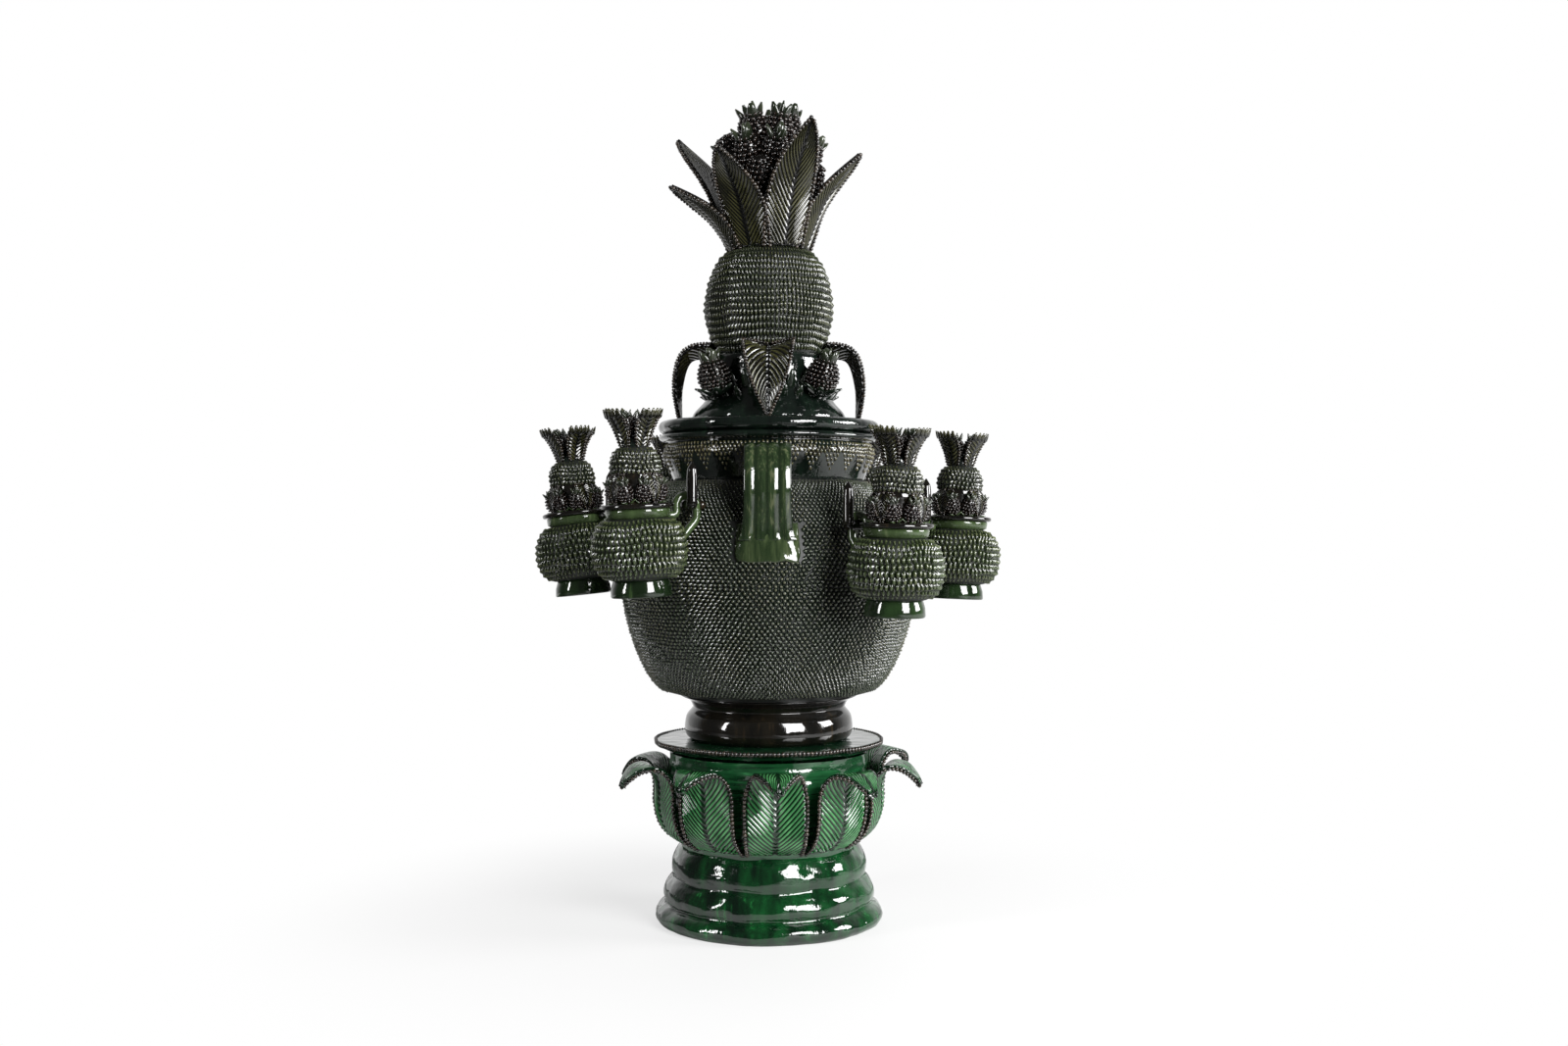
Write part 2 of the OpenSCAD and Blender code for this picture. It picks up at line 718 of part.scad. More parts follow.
// Crown

module crown_stem() {
    color(glaze_brown) spin(concat([[0, crown_z]], stem_outline));
}

module crown_leaves() {
    root_z = crown_z + crown_leaf_t * crown_root_lift;
    color(glaze_olive) for (i = [0 : len(crown_turns) - 1]) {
        tip = [crown_tip_r[i], crown_z + crown_tip_h[i]];
        middle = [mix(stem_r, tip[0], crown_bend[0]), mix(root_z, tip[1], crown_bend[1])];
        path = smooth([[stem_r + lute_gap, root_z], middle, tip], leaf_steps);
        around(crown_turns[i]) leaf(path, crown_root_w, crown_leaf_w, crown_leaf_form, stem_r, crown_leaf_t);
    }
}

module crown_pineapples() {
    top_z = crown_z + stem_h + mound_h;
    ring_z = crown_z + stem_h + mound_h * sqrt(1 - pow(crown_fruit_ring_r / mound_r, 2));
    color(glaze_brown) {
        translate([0, 0, top_z + lute_gap]) pineapple(crown_fruit_r, crown_fruit_h, crown_tuft_h);
        difference() {
            for (i = [1 : crown_ring_count])
                around(360 / crown_ring_count * i)
                    translate([crown_fruit_ring_r, 0, ring_z - crown_fruit_r / 2])
                    rotate([0, crown_fruit_lean, 0]) pineapple(crown_fruit_r, crown_fruit_h, crown_tuft_h);
            spin([for (q = concat([[0, crown_z]], stem_outline)) [q[0] + (q[0] > 0 ? lute_gap : 0), q[1]]]);
        }
    }
}

// Mugs

module mug_body(i) {
    floor_z = mug_foot_h - mug_h;
    bore_r = mug_neck_r - mug_wall;
    color(glaze_olive) at_mug(i - 1) spin(concat(
        [[0, -mug_h]],
        mug_foot,
        ridged(mug_side, mug_rows),
        mug_lip,
        [[bore_r, 0], [bore_r, -mug_neck_h]],
        turned([for (q = inset(mug_outline(0), mug_wall, -mug_neck_h)) if (q[1] > floor_z + mug_wall) q]),
        [[0, floor_z + mug_wall]]
    ));
}

// The handle rises from the neck, arches over the hook and comes down on the belly
module mug_handle(i) {
    thin = handle_bar_r - knuckle;
    leg_foot = [leg_out_u, 0, -handle_leg_h];
    strut = [leg_in_u, 0, strut_z];
    color(glaze_green) at_mug(i - 1) difference() {
        union() {
            translate([arch_u, 0, 0]) rotate([90, 0, 0])
                rotate_extrude(angle = 180) translate([arch_r, 0]) circle(handle_bar_r);
            bar(strut, [leg_in_u, 0, tie], thin);
            bar(leg_foot, [leg_out_u, 0, tie], thin);
            for (place = [strut, leg_foot]) translate(place) sphere(handle_bar_r);
            bar([mug_neck_r / 2, 0, strut_z], strut, thin);
            bar([mug_neck_r, 0, -handle_end_h], leg_foot, thin);
        }
        spin(concat([[0, -mug_h]], mug_outline(lute_gap), [[0, 0]]));
    }
}

module mug_lid(i) {
    spigot_r = mug_neck_r - mug_wall - mug_spigot_gap;
    half_t = mug_lid_t / 2;
    top_z = mug_lid_t + wreath_h;
    color(glaze_brown) at_mug(i - 1) spin([
        [spigot_r, -mug_spigot_h], [spigot_r, 0], [mug_lid_r - half_t / 2, 0], [mug_lid_r, half_t / 2],
        [mug_lid_r, mug_lid_t - half_t / 2], [mug_lid_r - half_t / 2, mug_lid_t],
        [wreath_r, mug_lid_t], [wreath_r, mug_lid_t + wreath_h * wreath_upright], [mug_fruit_r, top_z],
        [0, top_z], [0, mug_lid_t], [spigot_r - mug_wall, 0], [spigot_r - mug_wall, -mug_spigot_h]
    ]);
}

module mug_finial(i) {
    seat_z = mug_lid_t + wreath_h;
    top_z = seat_z + mug_fruit_h;
    color(glaze_olive) at_mug(i - 1) spin(concat(
        [[0, seat_z], [mug_fruit_r, seat_z]],
        turned(close_in(mug_fruit_r, mug_crown_root_r, seat_z + mug_fruit_h / 3, top_z, mug_full)),
        [[mug_crown_r, top_z + mug_crown_h], [0, top_z + mug_crown_h]]
    ));
}

pedestal_base();
pedestal_plate();
for (i = [1 : leaf_count])
    pedestal_leaf(i);
jar_foot();
jar_body();
jar_collar();
handle_front();
handle_back();
for (i = [1 : mug_count])
    hook(i);
lid_plate();
lid_fruit();
for (i = [1 : lid_leaf_count])
    lid_leaf(i);
for (i = [1 : small_count])
    lid_pineapple(i);
crown_stem();
crown_leaves();
crown_pineapples();
for (i = [1 : mug_count]) {
    mug_body(i);
    mug_handle(i);
    mug_lid(i);
    mug_finial(i);
}
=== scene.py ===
import bisect
import json
import math
import random

import bmesh
import bpy
from mathutils import Matrix, Vector, noise


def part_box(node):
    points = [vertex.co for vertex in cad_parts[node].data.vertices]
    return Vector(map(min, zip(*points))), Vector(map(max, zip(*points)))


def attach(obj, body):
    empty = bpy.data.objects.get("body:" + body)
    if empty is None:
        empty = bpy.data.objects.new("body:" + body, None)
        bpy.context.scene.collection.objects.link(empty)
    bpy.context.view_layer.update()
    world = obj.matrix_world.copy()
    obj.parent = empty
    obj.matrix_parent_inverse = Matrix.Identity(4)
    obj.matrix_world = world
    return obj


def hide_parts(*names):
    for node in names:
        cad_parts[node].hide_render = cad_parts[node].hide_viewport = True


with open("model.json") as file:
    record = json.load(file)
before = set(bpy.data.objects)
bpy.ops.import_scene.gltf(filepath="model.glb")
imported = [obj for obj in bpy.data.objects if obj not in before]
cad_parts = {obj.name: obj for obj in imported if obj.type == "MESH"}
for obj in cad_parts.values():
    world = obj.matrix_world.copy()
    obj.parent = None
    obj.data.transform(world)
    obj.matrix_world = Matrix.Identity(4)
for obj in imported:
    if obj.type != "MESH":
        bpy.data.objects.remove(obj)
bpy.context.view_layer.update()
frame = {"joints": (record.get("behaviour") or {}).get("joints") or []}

# Shapes are drawn in millimetres about the jar's axis, and piece() brings them to metres
MM = 0.001
TURN = 2 * math.pi
WELD = 0.01
LATHE_STEPS = 144
MUG_STEPS = 72
chance = random.Random(11)

# The photographer's place: eye height, distance from the jar's axis and step to its right
EYE_HEIGHT = 435.6
EYE_DISTANCE = 1782
EYE_RIGHT = 16.7
LENS = 37.1

# Clay work that the CAD solids leave plain
STUD_SIDES = 6
STUD_PINCH = 0.25
STUD_WIDE = 1.16
STUD_TALL = 1.56
STUD_SHOULDER = (0.52, 0.6)
STUD_STRAY = 0.07
STUD_WAVE = 0.2
STUD_LEAST = 0.75
SKIN_SHARE = 0.95
BEAD_R = 2.5
BEAD_GAP = 4.4
BEAD_RISE = 0.1
BEAD_SIZES = (0.86, 1.08)
BEAD_SHADES = (0.2, 0.9)
FRUIT_BEAD = (1.25, 0.95, 0.85)
VEIN_ROWS = 4
VEIN_BUMP = 0.5
RIB_HALF = 1.8
RIB_SHADE = 0.9
EDGE_STEPS = 160
PETAL_SWELL = 1.25
GLAZE_IOR = 1.68


def box_of(node):
    return [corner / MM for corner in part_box(node)]


def low(node):
    return box_of(node)[0].z


def high(node):
    return box_of(node)[1].z


def reach(node):
    return box_of(node)[1].x


# Curves


def mix(a, b, share):
    return a + (b - a) * share


def smooth_curve(points, steps=8):
    """A smooth curve through the points."""
    p = [Vector(q) for q in points]
    p = [2 * p[0] - p[1], *p, 2 * p[-1] - p[-2]]
    curve = []
    for a, b, c, d in zip(p, p[1:], p[2:], p[3:]):
        for k in range(steps):
            t = k / steps
            bend = 2 * a - 5 * b + 4 * c - d
            twist = 3 * b - a - 3 * c + d
            curve.append(0.5 * (2 * b + (c - a) * t + bend * t**2 + twist * t**3))
    return curve + [p[-2]]


def swell(r0, r1, z0, z1, full, steps=16):
    """A quarter of a rounded outline that swells from the radius r0 to r1 and ends upright."""
    quarter = []
    for k in range(steps + 1):
        s = math.sin(math.pi / 2 * k / steps)
        rise = 1 - (1 - s**full) ** (1 / full)
        quarter.append(Vector((mix(r0, r1, s), mix(z0, z1, rise))))
    return quarter


def close_in(r0, r1, z0, z1, full, steps=16):
    """A quarter of a rounded outline that starts upright at the radius r0 and closes in to r1."""
    quarter = [Vector((q.x, mix(z1, z0, q.y))) for q in swell(r1, r0, 0, 1, full, steps)]
    return quarter[::-1]


class Line:
    """A line of points that can be read at any share of its length."""

    def __init__(self, points):
        self.points = [Vector(p) for p in points]
        self.marks = [0.0]
        for a, b in zip(self.points, self.points[1:]):
            self.marks.append(self.marks[-1] + (b - a).length)
        self.length = self.marks[-1]

    def at(self, share):
        goal = min(max(share, 0.0), 1.0) * self.length
        k = min(bisect.bisect_right(self.marks, goal), len(self.points) - 1) - 1
        span = self.marks[k + 1] - self.marks[k]
        return self.points[k].lerp(self.points[k + 1], (goal - self.marks[k]) / span)

    def along(self, share, step=0.01):
        return (self.at(share + step) - self.at(share - step)).normalized()

    def spaced(self, gap):
        count = max(1, round(self.length / gap))
        return [self.at(k / count) for k in range(count + 1)]

    def moved_out(self, step, count=24):
        """The points of a flat line, moved to its right, which is outwards on a line that climbs."""
        shares = [k / count for k in range(count + 1)]
        sides = [self.along(s) for s in shares]
        return [self.at(s) + step * Vector((d.y, -d.x)) for s, d in zip(shares, sides)]


def set_in(outline, step):
    """The outline, moved towards the axis."""
    return [q - Vector((step, 0)) for q in outline]


def radius_at(outline, z):
    for a, b in zip(outline, outline[1:]):
        if min(a.y, b.y) <= z <= max(a.y, b.y) and a.y != b.y:
            return mix(a.x, b.x, (z - a.y) / (b.y - a.y))
    return outline[-1].x


# Shapes


def new_shape():
    """An empty shape. Its tip layer is 1 where the glaze runs thin and lighter, and 0 where it is darker:
    pooled glaze with painted shade in hollows, creases and gaps. Its vein layer counts scored lines."""
    bm = bmesh.new()
    for mark in ("tip", "vein"):
        bm.verts.layers.float.new(mark)
    return bm


def join(*shapes):
    whole = new_shape()
    for shape in shapes:
        part = bpy.data.meshes.new("part")
        shape.to_mesh(part)
        whole.from_mesh(part)
        bpy.data.meshes.remove(part)
    return whole


def moved(shape, matrix):
    copy = shape.copy()
    bmesh.ops.transform(copy, matrix=matrix, verts=copy.verts)
    return copy


def placed(glazed, place):
    """Copies of shapes with their glazes, brought to their place."""
    return [(moved(shape, place), glaze) for shape, glaze in glazed]


def turn(degrees):
    return Matrix.Rotation(math.radians(degrees), 4, "Z")


def around(degrees):
    """Turns a shape drawn along +X to an angle that counts from the front towards the right."""
    return turn(degrees - 90)


def lean(degrees):
    return Matrix.Rotation(math.radians(degrees), 4, "Y")


def shift(x, y, z):
    return Matrix.Translation((x, y, z))


def set_tip(shape, value):
    layer = shape.verts.layers.float["tip"]
    for v in shape.verts:
        v[layer] = value
    return shape


def lathe(outline, steps=LATHE_STEPS, closed=False):
    """A turned wall. Its outline goes up the outside and down the inside, so that its right looks out."""
    outline = [Vector(q) for q in outline]
    bm = new_shape()
    verts = [bm.verts.new((r, 0, z)) for r, z in outline]
    pairs = list(zip(verts, verts[1:]))
    if closed:
        pairs.append((verts[-1], verts[0]))
    edges = [bm.edges.new(pair) for pair in pairs]
    bmesh.ops.spin(
        bm, geom=verts + edges, cent=(0, 0, 0), axis=(0, 0, 1), angle=TURN, steps=steps, use_merge=True
    )
    bmesh.ops.remove_doubles(bm, verts=bm.verts, dist=WELD)
    bmesh.ops.recalc_face_normals(bm, faces=bm.faces)
    bm.normal_update()
    a, b = max(zip(outline, outline[1:]), key=lambda pair: abs(pair[1].y - pair[0].y))
    along = b - a
    middle = Vector(((a.x + b.x) / 2, 0, (a.y + b.y) / 2))
    nearest = min(bm.faces, key=lambda f: (f.calc_center_median() - middle).length)
    if nearest.normal.dot((along.y, 0, -along.x)) < 0:
        bmesh.ops.reverse_faces(bm, faces=bm.faces)
    return bm


def wobble(shape, amount, size):
    """Clay turned by hand is never quite round, so every point moves a little in or out."""
    for v in shape.verts:
        out = Vector((v.co.x, v.co.y, 0))
        if out.length > 1:
            v.co += out.normalized() * amount * noise.noise(v.co / size)
    return shape


def whole(verts):
    """The vertices with the edges and faces that hang on them."""
    edges = {e for v in verts for e in v.link_edges}
    faces = {f for v in verts for f in v.link_faces}
    return list(verts) + list(edges) + list(faces)


def ring_of(bm, verts, count):
    """Repeats a small shape in a ring about the axis, and gives back all the vertices of the ring."""
    step = TURN / count
    first = len(bm.verts) - len(verts)
    bmesh.ops.spin(
        bm,
        geom=whole(verts),
        cent=(0, 0, 0),
        axis=(0, 0, 1),
        angle=TURN - step,
        steps=count - 1,
        use_duplicate=True,
    )
    bm.verts.ensure_lookup_table()
    return bm.verts[first:]


def stud_rows(outline, count, rows, deep, slant=0, keep=None, start=0.0, end=1.0, stagger=0.5):
    """Rings of pinched studs whose tips lie on a turned outline. Every other ring is set on by the
    stagger's share of a step."""
    line = Line(outline)
    tall = STUD_TALL * line.length * (end - start) / rows
    step = TURN / count
    rings = []
    for row in range(rows):
        bm = new_shape()
        tip = bm.verts.layers.float["tip"]
        share = mix(start, end, (row + 0.5) / rows)
        r, z = line.at(share)
        along = line.along(share)
        side = Vector((0, 1, 0))
        up = Vector((along.x, 0, along.y))
        out = side.cross(up)
        stand = Matrix((side, up, out)).transposed().to_4x4()
        middle = Vector((r, 0, z)) - out * deep
        wide = STUD_WIDE * r * step
        size = Matrix.Diagonal((wide / 2, tall / 2, deep, 1))
        set_on = turn(math.degrees(step) * stagger * (row % 2))
        place = set_on @ Matrix.Translation(middle) @ stand @ turn(slant) @ size
        bmesh.ops.create_uvsphere(bm, u_segments=STUD_SIDES, v_segments=4, radius=1)
        bmesh.ops.delete(bm, geom=[v for v in bm.verts if v.co.z < -0.1], context="VERTS")
        made = bm.verts[:]
        for v in made:
            if 0.1 < v.co.z < 0.9:
                round_r, v.co.z = STUD_SHOULDER
                v.co.xy = v.co.xy.normalized() * round_r
            v[tip] = v.co.z
            v.co.x *= 1 - STUD_PINCH * v.co.z
        bmesh.ops.transform(bm, matrix=place, verts=made)
        ring = ring_of(bm, made, count)
        doomed = []
        for k in range(0, len(ring), len(made)):
            stud = ring[k : k + len(made)]
            at = sum((v.co for v in stud), Vector()) / len(stud)
            if keep and not keep(row, at):
                doomed += stud
                continue
            nudge = Vector([chance.uniform(-STUD_STRAY, STUD_STRAY) * wide for _ in range(3)])
            nudge.z += STUD_WAVE * tall * noise.noise(at / 30)
            press = chance.uniform(STUD_LEAST, 1.0)
            for v in stud:
                flat = Vector((at.x, at.y, 0)).normalized()
                v.co += nudge - flat * v[tip] * (1 - press) * deep
        bmesh.ops.delete(bm, geom=doomed, context="VERTS")
        rings.append(bm)
    return join(*rings)


def bead(bm, at, radius, stretch=(1, 1, 1)):
    size = Matrix.Diagonal((*stretch, 1))
    place = Matrix.Translation(at) @ size
    return bmesh.ops.create_icosphere(bm, subdivisions=1, radius=radius, matrix=place)["verts"]


def bead_ring(bm, r, z, count, radius, phase=0.0, stretch=(1, 1, 1)):
    place = turn(phase)
    made = bead(bm, Vector((r, 0, z)), radius, stretch)
    bmesh.ops.transform(bm, matrix=place, verts=made)
    return ring_of(bm, made, count)


def bead_line(points, radius):
    """Beads pressed side by side along a line."""
    bm = new_shape()
    tip = bm.verts.layers.float["tip"]
    for p in points:
        size = radius * chance.uniform(*BEAD_SIZES)
        shade = chance.uniform(*BEAD_SHADES)
        for v in bead(bm, p, size):
            v[tip] = shade
    return bm


def bar(path, section, across=Vector((0, 1, 0)), sides=20, shape=None):
    """A pulled bar: a ring carried along a path. section(share) gives its half sizes, across and out."""
    bm = new_shape()
    ring = bmesh.ops.create_circle(bm, segments=sides, radius=1)["verts"]
    if shape:
        for v in ring:
            v.co = shape(v.co)
    edges = list({e for v in ring for e in v.link_edges})
    last = Matrix.Identity(4)
    path = [Vector(p) for p in path]
    for k, point in enumerate(path):
        ahead = (path[min(k + 1, len(path) - 1)] - path[max(k - 1, 0)]).normalized()
        across = (across - ahead * across.dot(ahead)).normalized()
        turned = Matrix((across, ahead.cross(across), ahead)).transposed().to_4x4()
        half = section(k / (len(path) - 1))
        here = Matrix.Translation(point) @ turned @ Matrix.Diagonal((*half, 1, 1))
        if k:
            grown = bmesh.ops.extrude_edge_only(bm, edges=edges)["geom"]
            ring = [g for g in grown if isinstance(g, bmesh.types.BMVert)]
            edges = [g for g in grown if isinstance(g, bmesh.types.BMEdge)]
            edges = [e for e in edges if e.verts[0] in ring and e.verts[1] in ring]
        bmesh.ops.transform(bm, matrix=here @ last.inverted(), verts=ring)
        last = here
    bmesh.ops.holes_fill(bm, edges=[e for e in bm.edges if e.is_boundary])
    bmesh.ops.recalc_face_normals(bm, faces=bm.faces)
    return set_tip(bm, 0.5)


def round_ends(half, share_end=0.06):
    """A bar's half size that closes in to a rounded end on both sides."""

    def section(share):
        near = min(share, 1 - share) / share_end
        size = half * math.sqrt(max(0.02, 1 - max(0, 1 - near) ** 2))
        return size, size

    return section


def thicken(bm, thick):
    """Gives a face of clay its thickness, behind it."""
    bm.normal_update()
    made = bmesh.ops.extrude_face_region(bm, geom=bm.faces[:], use_keep_orig=True)["geom"]
    for v in made:
        if isinstance(v, bmesh.types.BMVert):
            v.co -= v.normal * thick
    bmesh.ops.recalc_face_normals(bm, faces=bm.faces)
    if bm.calc_volume(signed=True) < 0:
        bmesh.ops.reverse_faces(bm, faces=bm.faces)


def leaf_half(share, root, widest, at, blunt, tip_half=1.2):
    """Half of a leaf's width: root wide at its foot, widest at that share, and blunt or pointed."""
    if share < at:
        return mix(root, widest, math.sin(math.pi / 2 * share / at)) / 2
    left = 1 - ((share - at) / (1 - at)) ** 2
    return max(tip_half, widest / 2 * max(left, 0) ** blunt)


def leaf(
    path, form, wrap, thick, veins, columns=16, rib=1.4, fold=0.0, slant=0.26, score=1.3, bead_r=BEAD_R
):
    """A leaf whose face follows the path, scored with slanting veins, and the beads along its edge."""
    line = Line(path)
    bm = new_shape()
    tip, vein = (bm.verts.layers.float[mark] for mark in ("tip", "vein"))
    scores = round(veins * (1 + abs(slant)))
    bmesh.ops.create_grid(bm, x_segments=columns, y_segments=VEIN_ROWS * scores, size=1)

    def spot(t, share, rise=0.0):
        half = leaf_half(share, *form)
        c = line.at(share)
        bend = t * half / wrap
        deep = fold * half * (abs(t) - 0.5) + rise
        ahead = line.along(share)
        x = c.x - wrap * (1 - math.cos(bend)) + deep * ahead.y
        return Vector((x, wrap * math.sin(bend), c.y - deep * ahead.x))

    for v in bm.verts:
        t = v.co.x
        count = (v.co.y + 1) / 2 * scores
        share = min(1, max(0, count / veins - max(slant, 0) + slant * abs(t)))
        v.co = spot(t, share)
        v[vein] = count
        # The tip layer is low along the midrib crease, for painted shade there
        v[tip] = 1 - RIB_SHADE * math.exp(-((t * leaf_half(share, *form) / RIB_HALF) ** 2))
    bmesh.ops.remove_doubles(bm, verts=bm.verts, dist=WELD)
    bmesh.ops.recalc_face_normals(bm, faces=bm.faces)
    bm.normal_update()
    if sum((f.normal.x for f in bm.faces), 0.0) < 0:
        bmesh.ops.reverse_faces(bm, faces=bm.faces)
        bm.normal_update()
    face = []
    for v in bm.verts:
        scored = score * (1 - abs(math.sin(math.pi * v[vein])))
        face.append((v, v.normal.copy(), max(rib * (1 - v[tip]) / RIB_SHADE, scored)))
        # The edges get tip 0, for painted shade where the beads sit on them
        if v.is_boundary:
            v[tip] = 0
    thicken(bm, thick)
    for v, out, deep in face:
        v.co -= out * deep
    shares = [k / EDGE_STEPS for k in range(EDGE_STEPS + 1)]
    left, right = (Line([spot(t, share, BEAD_RISE * bead_r) for share in shares]) for t in (-1, 1))
    gap = BEAD_GAP / BEAD_R * bead_r
    points = left.spaced(gap) + right.spaced(gap)[:-1]
    return bm, bead_line(points, bead_r)


def petals(count, r, z, length, wide, thick, out, phase=0.0):
    """A ring of pointed lobes that lean outwards."""
    bm = new_shape()
    tip, vein = (bm.verts.layers.float[mark] for mark in ("tip", "vein"))
    size = Matrix.Diagonal((thick, wide, length, 1))
    place = turn(phase) @ shift(r, 0, z) @ lean(out) @ shift(0, 0, length / 2) @ size
    bmesh.ops.create_cone(bm, cap_ends=True, segments=8, radius1=0.5, radius2=0.12, depth=1, matrix=place)
    middle = place.translation
    edges = [e for e in bm.edges if len({v.co.z > middle.z for v in e.verts}) == 2]
    cut = bmesh.ops.subdivide_edges(bm, edges=edges, cuts=2)["geom_inner"]
    for v in cut:
        if isinstance(v, bmesh.types.BMVert):
            v.co = middle + (v.co - middle) * PETAL_SWELL
    verts = list(bm.verts)
    for v in verts:
        v[tip] = 0.5 + 0.5 * min(1, max(0, (v.co.z - z) / length))
        v[vein] = 0.5
    if count > 1:
        ring_of(bm, verts, count)
    return bm


def small_pineapple(r, h, tuft, beads=8, lobes=4):
    """A pineapple rolled from beads, standing on the origin: its beads and its tuft."""
    shape = [(0.5, 0), (0.98, 0.3), (0.92, 0.62), (0.5, 0.98)]
    outline = smooth_curve([(x * r, z * h) for x, z in shape], 6)
    core = lathe([(0, 0), *[(0.86 * q.x, q.y) for q in outline], (0, h)], 16)
    body = join(core)
    tip = body.verts.layers.float["tip"]
    line = Line(outline)
    gap = line.length / beads
    size = 0.56 * gap
    for row in range(beads):
        ring_r, z = line.at((row + 0.5) / beads)
        ring_r -= 0.4 * size
        count = max(5, round(TURN * ring_r / gap))
        for v in bead_ring(body, ring_r, z, count, size, 180 / count * (row % 2), FRUIT_BEAD):
            out = math.hypot(v.co.x, v.co.y) - ring_r
            v[tip] = min(1, max(0, out / (FRUIT_BEAD[0] * size)))
    spikes = [
        petals(lobes, 0.3 * r, 0.84 * h, 1.2 * tuft, 0.95 * r, 0.5 * r, 26),
        petals(1, 0.05 * r, 0.9 * h, 1.1 * tuft, 0.6 * r, 0.4 * r, 6, phase=36),
    ]
    return body, join(*spikes)


def piece(name, parts, body, nodes):
    """Joins shapes, each with its glaze, into one object that rides on a body and stands for CAD nodes."""
    mesh = bpy.data.meshes.new(name)
    glazes = []
    for shape, glaze in parts:
        if glaze not in glazes:
            glazes.append(glaze)
            mesh.materials.append(glaze)
        for face in shape.faces:
            face.material_index = glazes.index(glaze)
            face.smooth = True
    made = join(*[shape for shape, glaze in parts])
    bmesh.ops.scale(made, vec=(MM, MM, MM), verts=made.verts)
    made.to_mesh(mesh)
    made.free()
    thing = bpy.data.objects.new(name, mesh)
    bpy.context.scene.collection.objects.link(thing)
    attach(thing, body)
    if nodes:
        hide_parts(*nodes)
    return thing


# Glazes


class Wire:
    """A node's socket that takes part in Python sums."""

    def __init__(self, nodes, socket):
        self.nodes = nodes
        self.socket = socket

    def sum_with(self, operation, first, second):
        return self.nodes.node("ShaderNodeMath", {"operation": operation}, {0: first, 1: second})

    def __add__(self, other):
        return self.sum_with("ADD", self, other)

    def __radd__(self, other):
        return self.sum_with("ADD", other, self)

    def __sub__(self, other):
        return self.sum_with("SUBTRACT", self, other)

    def __rsub__(self, other):
        return self.sum_with("SUBTRACT", other, self)

    def __mul__(self, other):
        return self.sum_with("MULTIPLY", self, other)

    def __rmul__(self, other):
        return self.sum_with("MULTIPLY", other, self)

    def larger(self, other):
        return self.sum_with("MAXIMUM", self, other)


class Nodes:
    """A node tree whose sums are written as Python expressions."""

    def __init__(self, owner):
        owner.use_nodes = True
        self.tree = owner.node_tree

    def node(self, kind, settings=None, inputs=None, output=0):
        made = self.tree.nodes.new(kind)
        for key, value in (settings or {}).items():
            setattr(made, key, value)
        for key, value in (inputs or {}).items():
            self.link(value, made.inputs[key])
        return Wire(self, made.outputs[output])

    def link(self, value, socket):
        if isinstance(value, Wire):
            self.tree.links.new(value.socket, socket)
        else:
            socket.default_value = value

    def step(self, value, start, end, least=0.0):
        """The least value under start, 1 over end and smooth between them."""
        return self.node(
            "ShaderNodeMapRange",
            {"interpolation_type": "SMOOTHSTEP"},
            {"Value": value, "From Min": start, "From Max": end, "To Min": least},
        )


class Glaze(Nodes):
    """A shiny lead glaze over clay."""

    def __init__(self, name):
        self.material = bpy.data.materials.new(name)
        super().__init__(self.material)
        self.shader = self.tree.nodes["Principled BSDF"]
        self.where = self.node("ShaderNodeTexCoord", output="Object")

    def mark(self, name):
        return self.node("ShaderNodeAttribute", {"attribute_name": name}, output="Fac")

    def clouds(self, across, along=None, detail=2.0, rough=0.5):
        """A soft pattern of that size in millimetres, drawn out upwards where along is larger."""
        scale = [1 / (s * MM) for s in (across, across, along or across)]
        place = self.node("ShaderNodeMapping", None, {"Vector": self.where, "Scale": scale})
        inputs = {"Vector": place, "Scale": 1.0, "Detail": detail, "Roughness": rough}
        return self.node("ShaderNodeTexNoise", None, inputs)

    def blend(self, share, first, second):
        a, b = (c if isinstance(c, Wire) else (*c, 1.0) for c in (first, second))
        return self.node("ShaderNodeMix", {"data_type": "RGBA"}, {0: share, 6: a, 7: b}, 2)

    def finish(self, colour, rough, wave, wave_size, scored=0.0, wave_high=None):
        """Sets the colour and the gloss, with a surface that runs in soft waves of that depth and size."""
        hills = self.clouds(wave_size, wave_high, detail=1.0)
        pits = self.clouds(3.5, detail=1.0)
        height = wave * (hills + pits * 0.12) + scored
        bump = self.node("ShaderNodeBump", None, {"Strength": 1.0, "Distance": MM, "Height": height})
        dull = self.clouds(22, detail=3.0)
        self.link(colour, self.shader.inputs["Base Color"])
        self.link(rough + 0.08 * self.step(dull, 0.45, 0.75), self.shader.inputs["Roughness"])
        self.link(bump, self.shader.inputs["Normal"])
        self.shader.inputs["IOR"].default_value = GLAZE_IOR
        return self.material


def run_glaze(
    name, deep, bright, pale, across=14, along=120, wave=0.9, wave_high=26, pale_from=0.56, pooled_and_shaded=False
):
    """Glaze that ran down a smooth wall in streaks. Where asked, it is darker in the shape's grooves:
    pooled glaze with painted shade.
    """
    g = Glaze(name)
    runs = g.clouds(across, along, detail=3.0, rough=0.6)
    broad = g.clouds(70, 150, detail=1.0)
    thin = g.clouds(across / 3, along, detail=2.0)
    colour = g.blend(g.step(runs * 0.7 + broad * 0.3, 0.36, 0.64), deep, bright)
    colour = g.blend(0.75 * g.step(thin * 0.5 + runs * 0.5, pale_from, pale_from + 0.16), colour, pale)
    # Darker where the tip layer is low: pooled glaze with painted shade in the grooves
    if pooled_and_shaded:
        colour = g.blend(g.step(g.mark("tip"), 0.0, 0.55), deep, colour)
    return g.finish(colour, 0.05, wave, 26, wave_high=wave_high)


